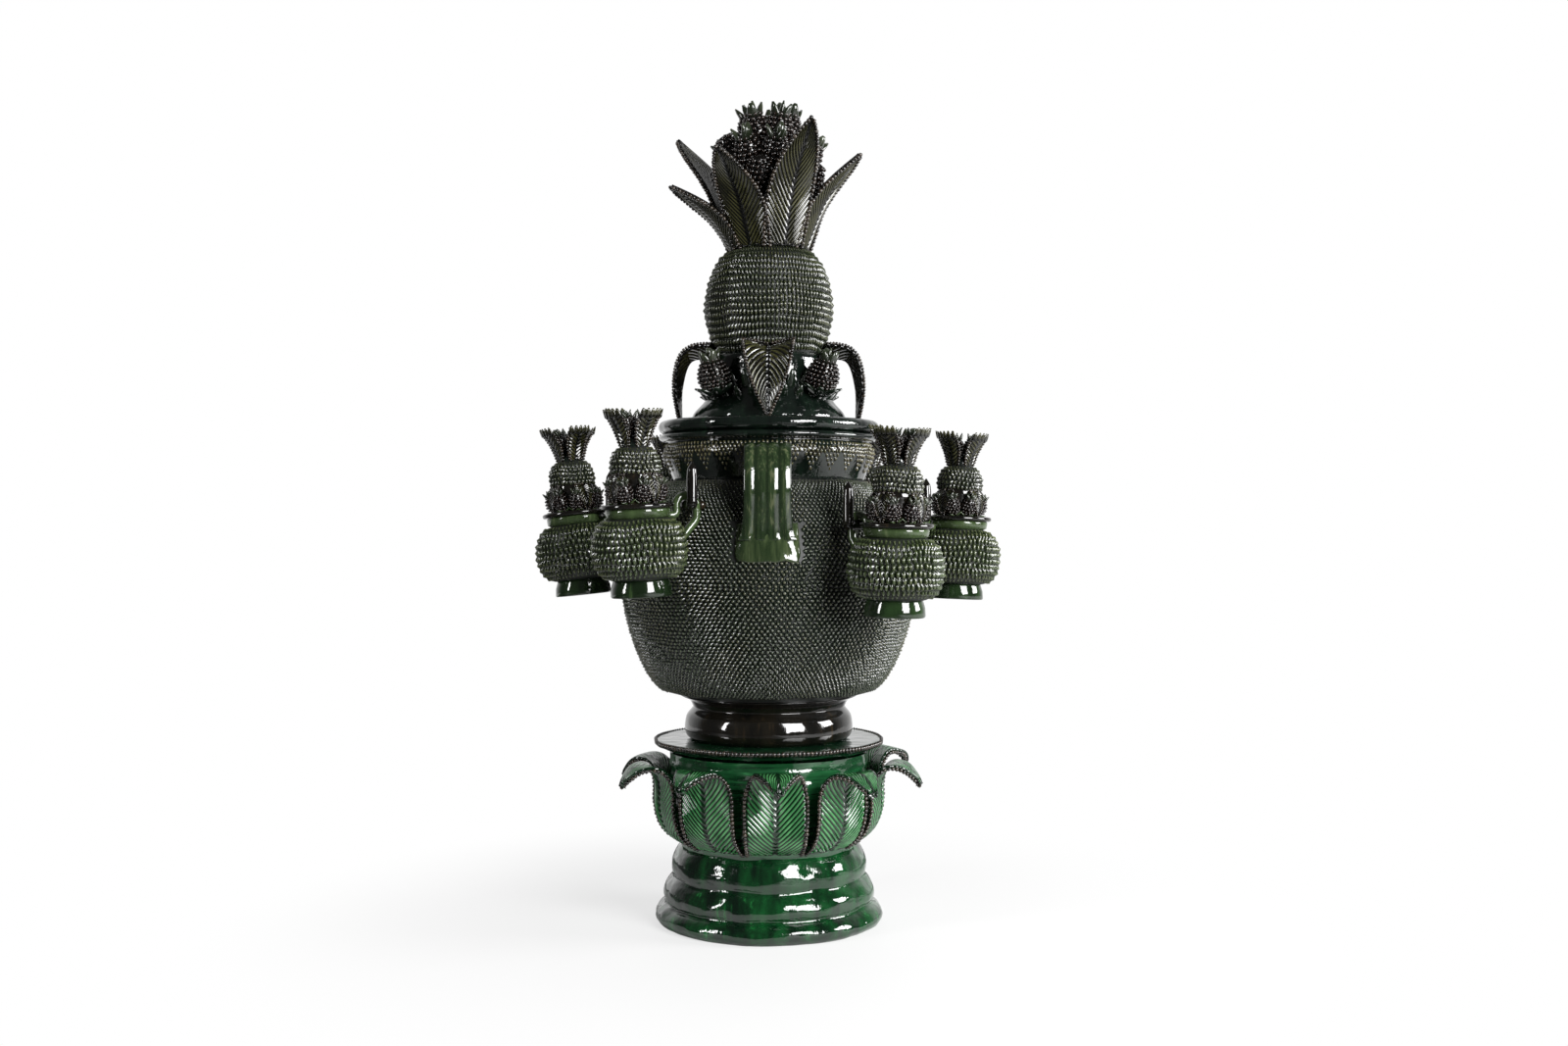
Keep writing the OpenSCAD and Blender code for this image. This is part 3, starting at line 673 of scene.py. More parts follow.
def stud_glaze(name, valley, flank, peak, second_peak):
    """Glaze darker between studs, pooled there with painted shade in the gaps, and worn thin and paler on
    their tips.
    """
    g = Glaze(name)
    tip = g.mark("tip")
    patches = g.step(g.clouds(45, detail=2.0), 0.4, 0.62)
    speck = g.clouds(2.2, detail=1.0)
    top = g.blend(patches, peak, second_peak)
    # Near black low on the studs and on the skin between them: pooled glaze with painted shade in the gaps
    colour = g.blend(g.step(tip, 0.05, 0.6), valley, flank)
    colour = g.blend(g.step(tip * 0.8 + speck * 0.4, 0.62, 1.05), colour, top)
    return g.finish(colour, 0.05 + 0.5 * (1 - g.step(tip, 0.0, 0.1)), 0.15, 9)


def leaf_glaze(name, groove, face, pale):
    """Glaze over scored veins: darker glaze with painted shade in the vein grooves, the midrib crease and
    along the edges, and lighter on the ridges.
    """
    g = Glaze(name)
    swing = g.node("ShaderNodeMath", {"operation": "SINE"}, {0: g.mark("vein") * math.pi})
    ridge = g.node("ShaderNodeMath", {"operation": "ABSOLUTE"}, {0: swing})
    mottle = g.step(g.clouds(16, 40, detail=3.0), 0.4, 0.66)
    colour = g.blend(mottle, face, pale)
    # Painted shade, with pooled glaze, in the vein grooves, along the midrib crease and at the edges
    colour = g.blend(g.step(g.mark("tip") * (0.1 + ridge), 0.5, 1.02), groove, colour)
    return g.finish(colour, 0.04, 0.25, 12, ridge * VEIN_BUMP)


def bead_glaze(name, dark, light):
    """Brown glaze that breaks lighter over the beads."""
    g = Glaze(name)
    tip = g.mark("tip")
    speck = g.clouds(4, detail=2.0)
    colour = g.blend(g.step(tip * 0.5 + speck * 0.6, 0.4, 0.8), dark, light)
    return g.finish(colour, 0.04, 0.12, 6)


# Each from its darkest to its palest colour
bottle_green = run_glaze(
    "bottle_green", (0.001, 0.007, 0.003), (0.004, 0.05, 0.012), (0.02, 0.2, 0.045),
    across=20, along=220, wave=1.5, wave_high=9,
)
bowl_green = run_glaze(
    "bowl_green", (0.004, 0.028, 0.01), (0.014, 0.09, 0.03), (0.045, 0.22, 0.075),
    across=60, along=5, wave=2.2, wave_high=14,
)
plate_green = run_glaze(
    "plate_green", (0.003, 0.012, 0.006), (0.006, 0.035, 0.014), (0.01, 0.06, 0.025), wave=1.4
)
leaf_green = leaf_glaze("leaf_green", (0.002, 0.016, 0.005), (0.02, 0.13, 0.035), (0.075, 0.27, 0.095))
jar_stud = stud_glaze(
    "jar_stud", (0.002, 0.004, 0.002), (0.013, 0.02, 0.011), (0.1, 0.115, 0.075), (0.12, 0.115, 0.068)
)
fruit_stud = stud_glaze(
    "fruit_stud", (0.002, 0.004, 0.002), (0.012, 0.016, 0.007), (0.1, 0.105, 0.052), (0.065, 0.078, 0.042)
)
mug_stud = stud_glaze(
    "mug_stud", (0.003, 0.006, 0.002), (0.018, 0.028, 0.009), (0.15, 0.17, 0.08), (0.1, 0.135, 0.06)
)
brown_black = run_glaze(
    "brown_black", (0.003, 0.003, 0.0025), (0.009, 0.0075, 0.005), (0.035, 0.023, 0.011), wave=0.6
)
dome_green = run_glaze(
    "dome_green", (0.003, 0.005, 0.004), (0.006, 0.012, 0.008), (0.012, 0.03, 0.016), wave=2.0
)
strap_green = run_glaze(
    "strap_green", (0.009, 0.018, 0.007), (0.03, 0.052, 0.02), (0.13, 0.14, 0.075),
    across=6, along=500, pale_from=0.5, pooled_and_shaded=True,
)
mug_green = run_glaze(
    "mug_green", (0.026, 0.042, 0.015), (0.06, 0.096, 0.036), (0.18, 0.22, 0.11),
    across=16, along=50, wave=2.0,
)
mug_foot_green = run_glaze(
    "mug_foot_green", (0.005, 0.012, 0.004), (0.016, 0.036, 0.011), (0.045, 0.08, 0.028),
    across=16, along=50,
)
patch_green = run_glaze(
    "patch_green", (0.015, 0.028, 0.01), (0.06, 0.085, 0.035), (0.21, 0.22, 0.13),
    across=9, along=60, wave=1.6,
)
olive_leaf = leaf_glaze("olive_leaf", (0.0012, 0.0012, 0.0008), (0.02, 0.02, 0.006), (0.055, 0.054, 0.018))
frill_green = leaf_glaze("frill_green", (0.003, 0.006, 0.004), (0.008, 0.015, 0.008), (0.02, 0.035, 0.018))
collar_glaze = stud_glaze(
    "collar_glaze", (0.004, 0.004, 0.002), (0.035, 0.031, 0.014), (0.19, 0.165, 0.08), (0.13, 0.125, 0.062)
)
edge_bead = bead_glaze("edge_bead", (0.004, 0.003, 0.002), (0.05, 0.037, 0.025))
fruit_bead = bead_glaze("fruit_bead", (0.003, 0.0022, 0.0018), (0.024, 0.014, 0.01))
tuft_olive = leaf_glaze("tuft_olive", (0.005, 0.007, 0.004), (0.018, 0.025, 0.013), (0.05, 0.06, 0.036))


# Pedestal

RING_HEIGHTS = [22, 29, 33]
RING_REACH = [125, 115, 107]
RING_STEPS = 12
RING_FULL = 0.8
GROOVE = 2
FOOT_INSET = 6
WAIST_R = 97
BOWL_R = 109
BOWL_STEPS = 56
BOWL_RIDGES = 7
RIDGE_DEEP = 0.9
PEDESTAL_WALL = 9


def pedestal_outline():
    """Three stacked rings, the waist and the bowl."""
    inner = [RING_REACH[0] - FOOT_INSET] + [r - GROOVE for r in RING_REACH[1:]] + [WAIST_R]
    points = []
    z = 0
    for height, r, a, b in zip(RING_HEIGHTS, RING_REACH, inner, inner[1:]):
        for k in range(RING_STEPS):
            t = k / RING_STEPS
            round_out = (r - (a + b) / 2) * math.sin(math.pi * t) ** RING_FULL
            points.append(Vector((mix(a, b, t) + round_out, z + height * t)))
        z += height
    top = high("pedestal_base")
    for k in range(BOWL_STEPS + 1):
        t = k / BOWL_STEPS
        ridge = RIDGE_DEEP * math.sin(TURN * BOWL_RIDGES * t) * min(1, 6 * t, 6 - 6 * t)
        points.append(Vector((mix(WAIST_R, BOWL_R, math.sin(math.pi / 2 * t)) + ridge, mix(z, top, t))))
    return points


def hand_turned(shape):
    """Rings pressed by hand: in, out and up or down, but level on the floor and under the plate."""
    top = high("pedestal_base")
    for v in shape.verts:
        level = min(1, v.co.z / 14, (top - v.co.z) / 30)
        v.co.z += 2.6 * level * noise.noise(v.co / 42 + Vector((7, 3, 1)))
    return wobble(wobble(shape, 2.0, 48), 1.1, 16)


def make_pedestal():
    outline = pedestal_outline()
    waist = sum(RING_HEIGHTS)
    inside = set_in(outline[::-1], PEDESTAL_WALL)
    rings = [q for q in outline if q.y <= waist]
    bowl = [q for q in outline if q.y >= waist]
    base = lathe(bowl[-1:] + inside + rings)
    parts = [(hand_turned(base), bottle_green), (hand_turned(lathe(bowl)), bowl_green)]
    piece("turned_pedestal", parts, "pedestal", ["pedestal_base"])

    make_tray()
    for i, lift in enumerate(LEAF_TIP_LIFT, 1):
        make_pedestal_leaf(i, lift, waist)


def make_tray():
    """The plate that the jar stands on, with a bent rim of beads."""
    under, top = low("pedestal_plate"), high("pedestal_plate")
    edge_r = reach("pedestal_plate") - BEAD_R
    below = [(0, under), (BOWL_R - 4, under), (BOWL_R + 2, under + 3)]
    below.append((mix(BOWL_R, edge_r, 0.6), under + 6))
    rim = [(edge_r, top - 4.5), (edge_r + 0.6, top - 2.5), (edge_r, top - 0.6), (edge_r - 6, top - 0.5)]
    tray = lathe([*below, *rim, (0, top - 0.3)])
    beads = new_shape()
    count = round(TURN * edge_r / BEAD_GAP)
    bead_ring(beads, edge_r + 0.2, top - 2.4, count, BEAD_R, stretch=(1, 1, 1.25))
    tip = beads.verts.layers.float["tip"]
    for v in beads.verts:
        v[tip] = noise.noise(v.co / 2.5) * 0.8 + 0.5
    parts = [(wobble(tray, 2.2, 34), plate_green), (wobble(beads, 2.2, 34), edge_bead)]
    piece("jar_tray", parts, "pedestal", ["pedestal_plate"])


# Ten leaves, each with its tip bent a little higher or lower, and the first one's turn in degrees
LEAF_TIP_LIFT = [6, -2, -3, 8, 3, -4, 4, -5, -2, 4]
LEAF_FIRST = 4
LEAF_THICK = 4


def make_pedestal_leaf(i, lift, waist):
    root_r = WAIST_R + 1.2
    face = smooth_curve([
        (root_r + 2, waist + 5), (113, waist + 14), (122, waist + 27), (127, waist + 47), (127, waist + 67),
        (130, waist + 81 + lift / 3), (139, waist + 90 + lift / 2), (152, waist + 89 + lift / 2),
        (162, waist + 81 + lift), (168, waist + 72 + lift)
    ])
    blade, beads = leaf(face, (58, 67, 0.45, 0.95), root_r, LEAF_THICK, veins=22, rib=2.2)
    place = around(LEAF_FIRST + 360 / len(LEAF_TIP_LIFT) * (i - 1))
    parts = placed([(blade, leaf_green), (beads, edge_bead)], place)
    piece(f"curled_leaf_{i}", parts, "pedestal", [f"pedestal_leaf_{i}"])


# Jar

STUD_DEEP = 4.6
JAR_WALL = 9
FOOT_TOP_R = 85
BODY_FLOOR_R = 118
BODY_FLOOR_H = 8
BELLY_H = 120
NECK_R = 107
PATCH_W = 70
STRAP_W = 48
STRAP_T = 9
STRAP_DROP = 52
PATCH_H = 34


def body_outline():
    bottom, top, r = low("jar_body"), high("jar_body"), reach("jar_body")
    belly = bottom + BELLY_H
    under = swell(BODY_FLOOR_R, r, bottom + BODY_FLOOR_H, belly, 1.5, 24)
    return under + close_in(r, NECK_R, belly, top, 1.6, 24)[1:]


def make_jar():
    bottom, top = low("jar_body"), high("jar_body")
    studded = body_outline()
    floor_z = bottom + JAR_WALL
    skin = set_in(studded, STUD_DEEP * SKIN_SHARE)
    inner = set_in([q for q in studded[::-1] if floor_z + 2 < q.y], JAR_WALL)
    under, floor = [(0, bottom), (FOOT_TOP_R, bottom)], [(BODY_FLOOR_R - JAR_WALL, floor_z), (0, floor_z)]
    shell = lathe([*under, *skin, *inner, *floor])
    piece("jar_shell", [(wobble(shell, 0.8, 60), jar_stud)], "jar", ["jar_body"])

    patch_low = top - STRAP_DROP - PATCH_H

    def clear_of_strap(row, at):
        """No studs where the strap and its patch are smeared on."""
        half = PATCH_W / 2 + 1 if at.z < top - STRAP_DROP + 8 else STRAP_W / 2 - 6
        return not (abs(at.x) < half and at.z > patch_low)

    for name, start, end in [("jar_studs_low", 0.0, 0.5), ("jar_studs_high", 0.5, 1.0)]:
        studs = stud_rows(studded, 174, 33, STUD_DEEP, slant=12, keep=clear_of_strap, start=start, end=end)
        piece(name, [(wobble(studs, 0.8, 60), jar_stud)], "jar", [])

    make_foot()
    make_collar()
    for name, node, side in [("strap_front", "handle_front", 0), ("strap_back", "handle_back", 180)]:
        make_strap(name, node, side, studded)


def make_foot():
    z0, z1 = low("jar_foot"), high("jar_foot")
    outline = smooth_curve([
        (86, z0), (90.5, z0 + 4), (92.5, z0 + 12), (90.5, z0 + 25), (84.5, z0 + 33), (84, z0 + 36),
        (88, z1 - 2.5), (97, z1 + 2)
    ], 5)
    foot = lathe([*outline, (70, z1), (70, z0)], closed=True)
    piece("jar_foot_ring", [(wobble(foot, 0.9, 45), brown_black)], "jar", ["jar_foot"])


COLLAR_STUDS = 150
COLLAR_ROWS = 8
COLLAR_ROLL = 9
ZIGZAG = 5


def make_collar():
    z0, z1 = low("jar_collar"), high("jar_collar")
    rim_z = z1 - COLLAR_ROLL
    studded = smooth_curve([(NECK_R, z0), (109, z0 + 5), (117.5, z0 + 28.5), (112.5, rim_z)], 8)
    bends = [math.pi * k / 9 for k in range(1, 9)]
    roll = [(112 + COLLAR_ROLL * math.sin(a), rim_z + COLLAR_ROLL * (1 - math.cos(a)) / 2) for a in bends]
    ring = lathe([*set_in(studded, 2.4), *roll, (112, z1), (98, z1), (98, z0)], closed=True)
    step = 360 / COLLAR_STUDS

    def zigzag(row, at):
        """The upper two rings are whole, and under them hang triangles of studs."""
        down = COLLAR_ROWS - 1 - row
        place = math.degrees(math.atan2(at.y, at.x)) / step / ZIGZAG
        off = abs(place - math.floor(place) - 0.5) * ZIGZAG
        return down < 2 or off < (ZIGZAG - 0.72 * (down - 1)) / 2

    studs = stud_rows(studded, COLLAR_STUDS, COLLAR_ROWS, 3.8, keep=zigzag, start=0.06, end=0.98)
    parts = [(wobble(ring, 0.7, 50), dome_green), (wobble(studs, 0.7, 50), collar_glaze)]
    piece("zigzag_collar", parts, "jar", ["jar_collar"])


def make_strap(name, node, side, body):
    """A fluted strap that bows out from the collar and is smeared onto the shoulder."""
    top = high("jar_collar") - COLLAR_ROLL - STRAP_T
    end = high("jar_body") - STRAP_DROP
    path = smooth_curve([
        (111, top), (mix(117.5, 157, 0.6), top - STRAP_T / 2), (156, mix(top, end, 0.46)),
        (radius_at(body, end) + 2, end), (radius_at(body, end - 12) - 2, end - 12)
    ], 10)
    flutes = 4

    def fluted(co):
        """A flat band with rounded edges, whose outer face is drawn with the fingers into flutes."""
        across = math.copysign(abs(co.x) ** 0.7, co.x)
        out = math.copysign(abs(co.y) ** 0.55, co.y)
        if co.y > 0:
            out -= 0.42 * (0.5 + 0.5 * math.cos(flutes * math.pi * across)) * (1 - abs(across) ** 4)
        return Vector((across, out, 0))

    def section(share):
        flare = 1 + 0.28 * max(0, share - 0.62) / 0.38 + 0.1 * max(0, 0.25 - share) / 0.25
        return STRAP_W / 2 * flare, STRAP_T / 2

    strap = bar([Vector((q.x, 0, q.y)) for q in path], section, sides=64, shape=fluted)
    # The tip layer is low in the grooves of the flutes, for pooled glaze with painted shade there
    tip = strap.verts.layers.float["tip"]
    for v in strap.verts:
        v[tip] = 0.5 - 0.5 * math.cos(flutes * math.pi * v.co.y / STRAP_W * 2)
    low_z = end - PATCH_H
    patch = new_shape()
    bmesh.ops.create_grid(patch, x_segments=28, y_segments=16, size=1)
    for v in patch.verts:
        t, u = v.co.x, (v.co.y + 1) / 2
        z = mix(low_z, end + 6, u)
        half = PATCH_W / 2 * (1 - 0.1 * u) * min(1, 0.9 + 0.5 * u)
        z += 2.5 * noise.noise(Vector((t * 2.5, side, 4.2))) * (1 - u)
        r = radius_at(body, z)
        thumbed = 0.9 * noise.noise(Vector((t * 4, z / 9, 1)))
        bulge = 4.4 * (1 - abs(t) ** 6) * min(1, 0.3 + 1.6 * u) - 2.4 + thumbed
        angle = t * half / r
        v.co = Vector(((r + bulge) * math.cos(angle), (r + bulge) * math.sin(angle), z))
    set_tip(patch, 0.7)
    bmesh.ops.recalc_face_normals(patch, faces=patch.faces)
    if sum(f.normal.x for f in patch.faces) < 0:
        bmesh.ops.reverse_faces(patch, faces=patch.faces)
    thicken(patch, 3)
    parts = placed([(strap, strap_green), (patch, patch_green)], around(side))
    piece(name, parts, "jar", [node])


# Lid

LID_WALL = 7
LID_FLANGE_H = 14
LID_LEAF_R = 98
LID_LEAF_THICK = 3.4
LID_LEAF_OUT = 3.6
SPIGOT_R = 96.5
SPIGOT_H = 16
FRUIT_FOOT_R = 60
FRUIT_TOP_R = 39
FRUIT_BELLY_H = 46
SEAT_RISE = 21.6


def make_lid():
    mouth = high("jar_collar")
    dome_z = mouth + LID_FLANGE_H
    fruit_z, crown_z, fruit_r = low("lid_fruit"), high("lid_fruit"), reach("lid_fruit")
    flange_r = reach("lid_plate")
    spigot = [(SPIGOT_R, mouth - SPIGOT_H), (SPIGOT_R, mouth), (flange_r - LID_WALL, mouth)]
    bends = [math.pi * k / 11 for k in range(1, 11)]
    roll = [(flange_r - LID_WALL * (1 - math.sin(a)), mouth + LID_WALL * (1 - math.cos(a))) for a in bends]
    ledge = [(flange_r - 8, dome_z - 0.5), (flange_r - 16, dome_z - 2), (92, dome_z - 1)]
    dome = [(86, dome_z), (82.4, dome_z + 9.4), (67.8, dome_z + 29), (FRUIT_FOOT_R, fruit_z)]
    dome = smooth_curve(dome, 8)
    roof = [(0, fruit_z), (0, fruit_z - LID_WALL), (FRUIT_FOOT_R - LID_WALL, fruit_z - LID_WALL)]
    inside = set_in(dome[-2:4:-1], LID_WALL)
    bore = [(SPIGOT_R - LID_WALL, mouth), (SPIGOT_R - LID_WALL, mouth - SPIGOT_H)]
    plate = lathe([*spigot, *roll, *ledge, *dome, *roof, *inside, *bore], closed=True)
    frill = join(
        petals(26, 61, dome_z + 27, 28, 13, 7, 26), petals(26, 64, dome_z + 20, 20, 12, 7, 42, phase=7)
    )
    parts = [(wobble(plate, 0.6, 50), dome_green), (frill, frill_green)]
    piece("lid_dome", parts, "lid", ["lid_plate"])

    fruit = swell(FRUIT_FOOT_R, fruit_r, fruit_z, fruit_z + FRUIT_BELLY_H, 1.15, 20)
    fruit += close_in(fruit_r, FRUIT_TOP_R, fruit_z + FRUIT_BELLY_H, crown_z, 2, 20)[1:]
    skin = lathe([(0, fruit_z), *set_in(fruit, 4.2), (0, crown_z)])
    studs = stud_rows(fruit, 96, 17, 4.8, stagger=0.15)
    parts = [(wobble(skin, 0.8, 40), fruit_stud), (wobble(studs, 0.8, 40), fruit_stud)]
    piece("studded_fruit", parts, "lid", ["lid_fruit"])

    top_z = fruit_z + 4
    root_r = radius_at(fruit, top_z + 4)
    path = smooth_curve([
        (95.5, dome_z + 0.5), (LID_LEAF_R, mix(dome_z, top_z, 0.5)),
        (mix(root_r, LID_LEAF_R, 0.75), top_z - 7), (root_r - 1, top_z)
    ])
    face = Line(path).moved_out(LID_LEAF_OUT, 50)
    for i in range(1, 5):
        blade, beads = leaf(
            face, (3, 54, 0.85, 0.1), 160, LID_LEAF_THICK, veins=15, fold=0.42, slant=-0.26, bead_r=1.9
        )
        parts = placed([(blade, olive_leaf), (beads, edge_bead)], around(90 * (i - 1)))
        piece(f"lid_drooping_leaf_{i}", parts, "lid", [f"lid_leaf_{i}"])

    body, tuft = small_pineapple(17, 37, 13, beads=9, lobes=5)
    calyx = join(petals(8, 7, -2, 19, 14, 7, 60), petals(7, 6, 1, 16, 12, 6, 40, phase=20))
    seat_z = dome_z + SEAT_RISE
    seat_r = radius_at(dome, seat_z)
    for i in range(1, 5):
        place = around(90 * (i - 0.5)) @ shift(seat_r + 5, 0, seat_z + 8) @ lean(18)
        parts = placed([(body, fruit_bead), (tuft, tuft_olive), (calyx, frill_green)], place)
        piece(f"lid_small_pineapple_{i}", parts, "lid", [f"lid_pineapple_{i}"])
    make_crown(crown_z)


CROWN_TURNS = [-28, 23, 74, 126, 178, 232, 285]
CROWN_TIP_R = [111, 115, 101, 112, 108, 132, 108]
CROWN_TIP_H = [95, 123, 102, 112, 115, 143, 68]
STEM_R = 43


def make_crown(z):
    mound = close_in(38, 0, z + 65, z + 110, 2)
    stem = lathe([(0, z), (STEM_R, z), *mound], 72)
    piece("crown_heart", [(wobble(stem, 0.8, 30), dome_green)], "lid", ["crown_stem"])

    parts = []
    for k, (angle, tip_r, tip_h) in enumerate(zip(CROWN_TURNS, CROWN_TIP_R, CROWN_TIP_H)):
        middle = (mix(STEM_R, tip_r, 0.34), mix(z + 3, z + tip_h, 0.5))
        path = smooth_curve([(STEM_R - 3 + 2 * (k % 2), z + 1), middle, (tip_r, z + tip_h)])
        face = Line(path).moved_out(LID_LEAF_OUT, 50)
        blade, beads = leaf(face, (46, 54, 0.34, 0.85), STEM_R + 4, LID_LEAF_THICK, veins=20, slant=0.3)
        parts += placed([(blade, olive_leaf), (beads, edge_bead)], around(angle))
    piece("crown_blades", parts, "lid", ["crown_leaves"])

    body, tuft = small_pineapple(15.5, 42, 14, beads=8, lobes=3)
    places = [around(72 * i + 30) @ shift(15, 0, z + 109 + 4 * (i % 2)) @ lean(15) for i in range(5)]
    places += [around(40 * i + 10) @ shift(30, 0, z + 84 + 4 * (i % 2)) @ lean(34) for i in range(9)]
    places += [around(40 * i + 30) @ shift(33, 0, z + 60) @ lean(38) for i in range(9)]
    # The five at the top and every other one of the middle ring carry a tuft
    tufted = {*range(5), *range(5, 14, 2)}
    parts = []
    for k, place in enumerate(places):
        spun = place @ turn(chance.uniform(0, 60))
        parts.append((moved(body, spun), fruit_bead))
        if k in tufted:
            parts.append((moved(tuft, spun), tuft_olive))
    piece("crown_cluster", parts, "lid", ["crown_pineapples"])


# Mugs and their hooks

ARCH_U = 52.85
ARCH_R = 11
HANG = 0.95
HANDLE_BAR = 4.25
MUG_R = 50
MUG_H = 88
MUG_NECK_R = 31
MUG_NECK_H = 10
MUG_FOOT_R = 31
MUG_FOOT_H = 17
MUG_LEAF_THICK = 1.8
MUG_WALL = 5
HOOK_R = 5.5
HOOK_ROOT = 14
HOOK_PEG = 16
HOOK_PEG_H = 38


def joint_named(name):
    return next(j for j in frame["joints"] if j["name"] == name)


def mug_places(i):
    """Where mug i hangs: its arm's frame and the frame in the middle of its rim, with +X to the jar."""
    swing = joint_named(f"mug_{i}_swing")
    arm = Vector(swing["pos_m"]) / MM
    along = Vector(swing["axis"]).normalized()
    up = Vector(joint_named(f"mug_{i}_lid_lift")["axis"]).normalized()
    to_jar = along.cross(up)
    level = Vector((to_jar.x, to_jar.y, 0)).normalized()
    at_arm = Matrix.Translation(arm) @ Matrix((level, along, Vector((0, 0, 1)))).transposed().to_4x4()
    rim = arm - ARCH_U * to_jar - HANG * up
    at_mug = Matrix.Translation(rim) @ Matrix((to_jar, along, up)).transposed().to_4x4()
    return at_arm, at_mug


# The shapes that the six mugs share, about the middle of the rim, each with its glaze


def mug_bowl():
    """A mug in three walls that meet: the lip with the inside, the foot and the studded belly."""
    belly_z = -(MUG_H - MUG_FOOT_H + MUG_NECK_H) / 2
    studded = swell(MUG_FOOT_R + 1, MUG_R, MUG_FOOT_H - MUG_H, belly_z, 2, 14)
    studded += close_in(MUG_R, MUG_NECK_R + 1.5, belly_z, -MUG_NECK_H, 2, 14)[1:]
    skin = set_in(studded, 4.4)
    under = [(0, 6), (26, 5), (27.5, 0), (30.5, 0), (31, 1.5), (30.4, 9)]
    neck = [(32.2, -8), (32.8, -3), (32.6, -0.8), (31.6, 0), (27, 0), (26, -1.5), (26, -MUG_NECK_H)]
    inner = set_in(studded[::-1][2:-5], MUG_WALL + 2)
    lip = lathe([skin[-1], *neck, *inner, (0, MUG_FOOT_H - MUG_H + MUG_WALL)], MUG_STEPS)
    foot = lathe([*[(r, z - MUG_H) for r, z in under], skin[0]], MUG_STEPS)
    studs = stud_rows(studded, 52, 10, 5.0, start=0.03, end=0.98, stagger=0.25)
    belly = join(lathe(skin, MUG_STEPS), studs)
    glazed = [(lip, mug_green), (foot, mug_foot_green), (belly, mug_stud)]
    return [(wobble(shape, 0.7, 25), glaze) for shape, glaze in glazed]


def mug_ear():
    bends = [math.pi * k / 12 for k in range(13)]
    arch = [(ARCH_U - ARCH_R * math.cos(a), ARCH_R * math.sin(a)) for a in bends]
    start = [(MUG_NECK_R - 2.5, -7.5), (ARCH_U - ARCH_R - 3.2, -8.2), (ARCH_U - ARCH_R, -5)]
    end = [(ARCH_U + ARCH_R, -11), (ARCH_U + ARCH_R - 2.6, -16.5), (54, -24), (47, -32), (42.5, -38)]
    path = smooth_curve([Vector((x, 0, z)) for x, z in start + arch + end], 3)
    return [(bar(path, round_ends(HANDLE_BAR, 0.03), sides=18), mug_green)]


def mug_cover():
    """The lid of a mug with its wreath of leaves and small pineapples."""
    disc = lathe([
        (0, 0), (18, 0), (25.2, -7), (25.2, 0), (35.6, 0), (36.8, 1.2), (37, 2.5), (36.8, 3.8),
        (35.4, 4.8), (29, 4.6), (22, 6), (19, 14), (20, 28), (24, 36), (0, 36)
    ], MUG_STEPS)
    leaves, edges = [], []
    path = smooth_curve([(27.5, 6), (29.6, 16), (28.2, 27), (23.5, 34)])
    face = Line(path).moved_out(0.6, 24)
    for i in range(4):
        blade, beads = leaf(
            face, (3, 21, 0.85, 0.1), 24, MUG_LEAF_THICK,
            veins=9, columns=8, rib=0.6, slant=-0.26, score=0.4, bead_r=1.4,
        )
        leaves.append(moved(blade, turn(90 * i)))
        edges.append(moved(beads, turn(90 * i)))
    body, tuft = small_pineapple(8, 20, 7, beads=6, lobes=4)
    calyx = petals(4, 3.5, -1, 8, 6, 2.4, 60)
    places = [turn(45 * i + 22.5) @ shift(20.6, 0, 7) @ lean(20) for i in range(8)]
    wreath, tufts, cups = (join(*[moved(s, place) for place in places]) for s in (body, tuft, calyx))
    return [
        (disc, brown_black), (join(*leaves), olive_leaf), (join(*edges), edge_bead), (wreath, fruit_bead),
        (tufts, tuft_olive), (cups, mug_green)
    ]


def mug_knob():
    """The fruit on a mug's lid, with its crown."""
    z0, z1 = 34, 62
    fruit = swell(24.5, 27, z0, z0 + 9, 2, 8) + close_in(27, 15, z0 + 9, z1, 2, 12)[1:]
    skin = lathe([(0, z0), *set_in(fruit, 3.4), (0, z1)], MUG_STEPS)
    studs = stud_rows(fruit, 32, 6, 4.0, end=0.98, stagger=0.3)
    stalk = lathe([(0, z1 - 2), (14, z1 - 2), (11.5, z1 + 8), (0, z1 + 14)], 32)
    tooth = petals(1, 0, 0, 9, 7, 3.6, 24)
    blades, edges = [], []
    for i in range(4):
        tip_r = 30 + chance.uniform(-2.5, 0)
        tip_h = 33 + chance.uniform(-3, 2)
        middle = (mix(12.6, tip_r, 0.38), z1 + tip_h * 0.5)
        path = smooth_curve([(12.6, z1 - 1), middle, (tip_r, z1 + tip_h)])
        blade, beads = leaf(
            Line(path).moved_out(0.8, 24), (13, 26, 0.92, 0.3, 11), 17, MUG_LEAF_THICK,
            veins=8, columns=8, rib=0.9, score=0.7, bead_r=1.9,
        )
        teeth = []
        for bend in (-20, -10, 0, 10, 20):
            place = turn(bend) @ shift(tip_r - 2.5 * (bend / 40) ** 2, 0, z1 + tip_h - 2)
            teeth.append(moved(tooth, place))
        blades += [moved(shape, turn(90 * i)) for shape in (blade, *teeth)]
        edges.append(moved(beads, turn(90 * i)))
    body, tuft = small_pineapple(7, 18, 8, beads=6, lobes=3)
    places = [turn(72 * i + 20) @ shift(9, 0, z1 + 13) @ lean(18) for i in range(5)]
    hearts, tufts = (join(*[moved(s, place) for place in places]) for s in (body, tuft))
    return [
        (skin, fruit_stud), (studs, fruit_stud), (stalk, dome_green), (join(*blades), olive_leaf),
        (join(*edges), edge_bead), (hearts, fruit_bead), (tufts, tuft_olive)
    ]


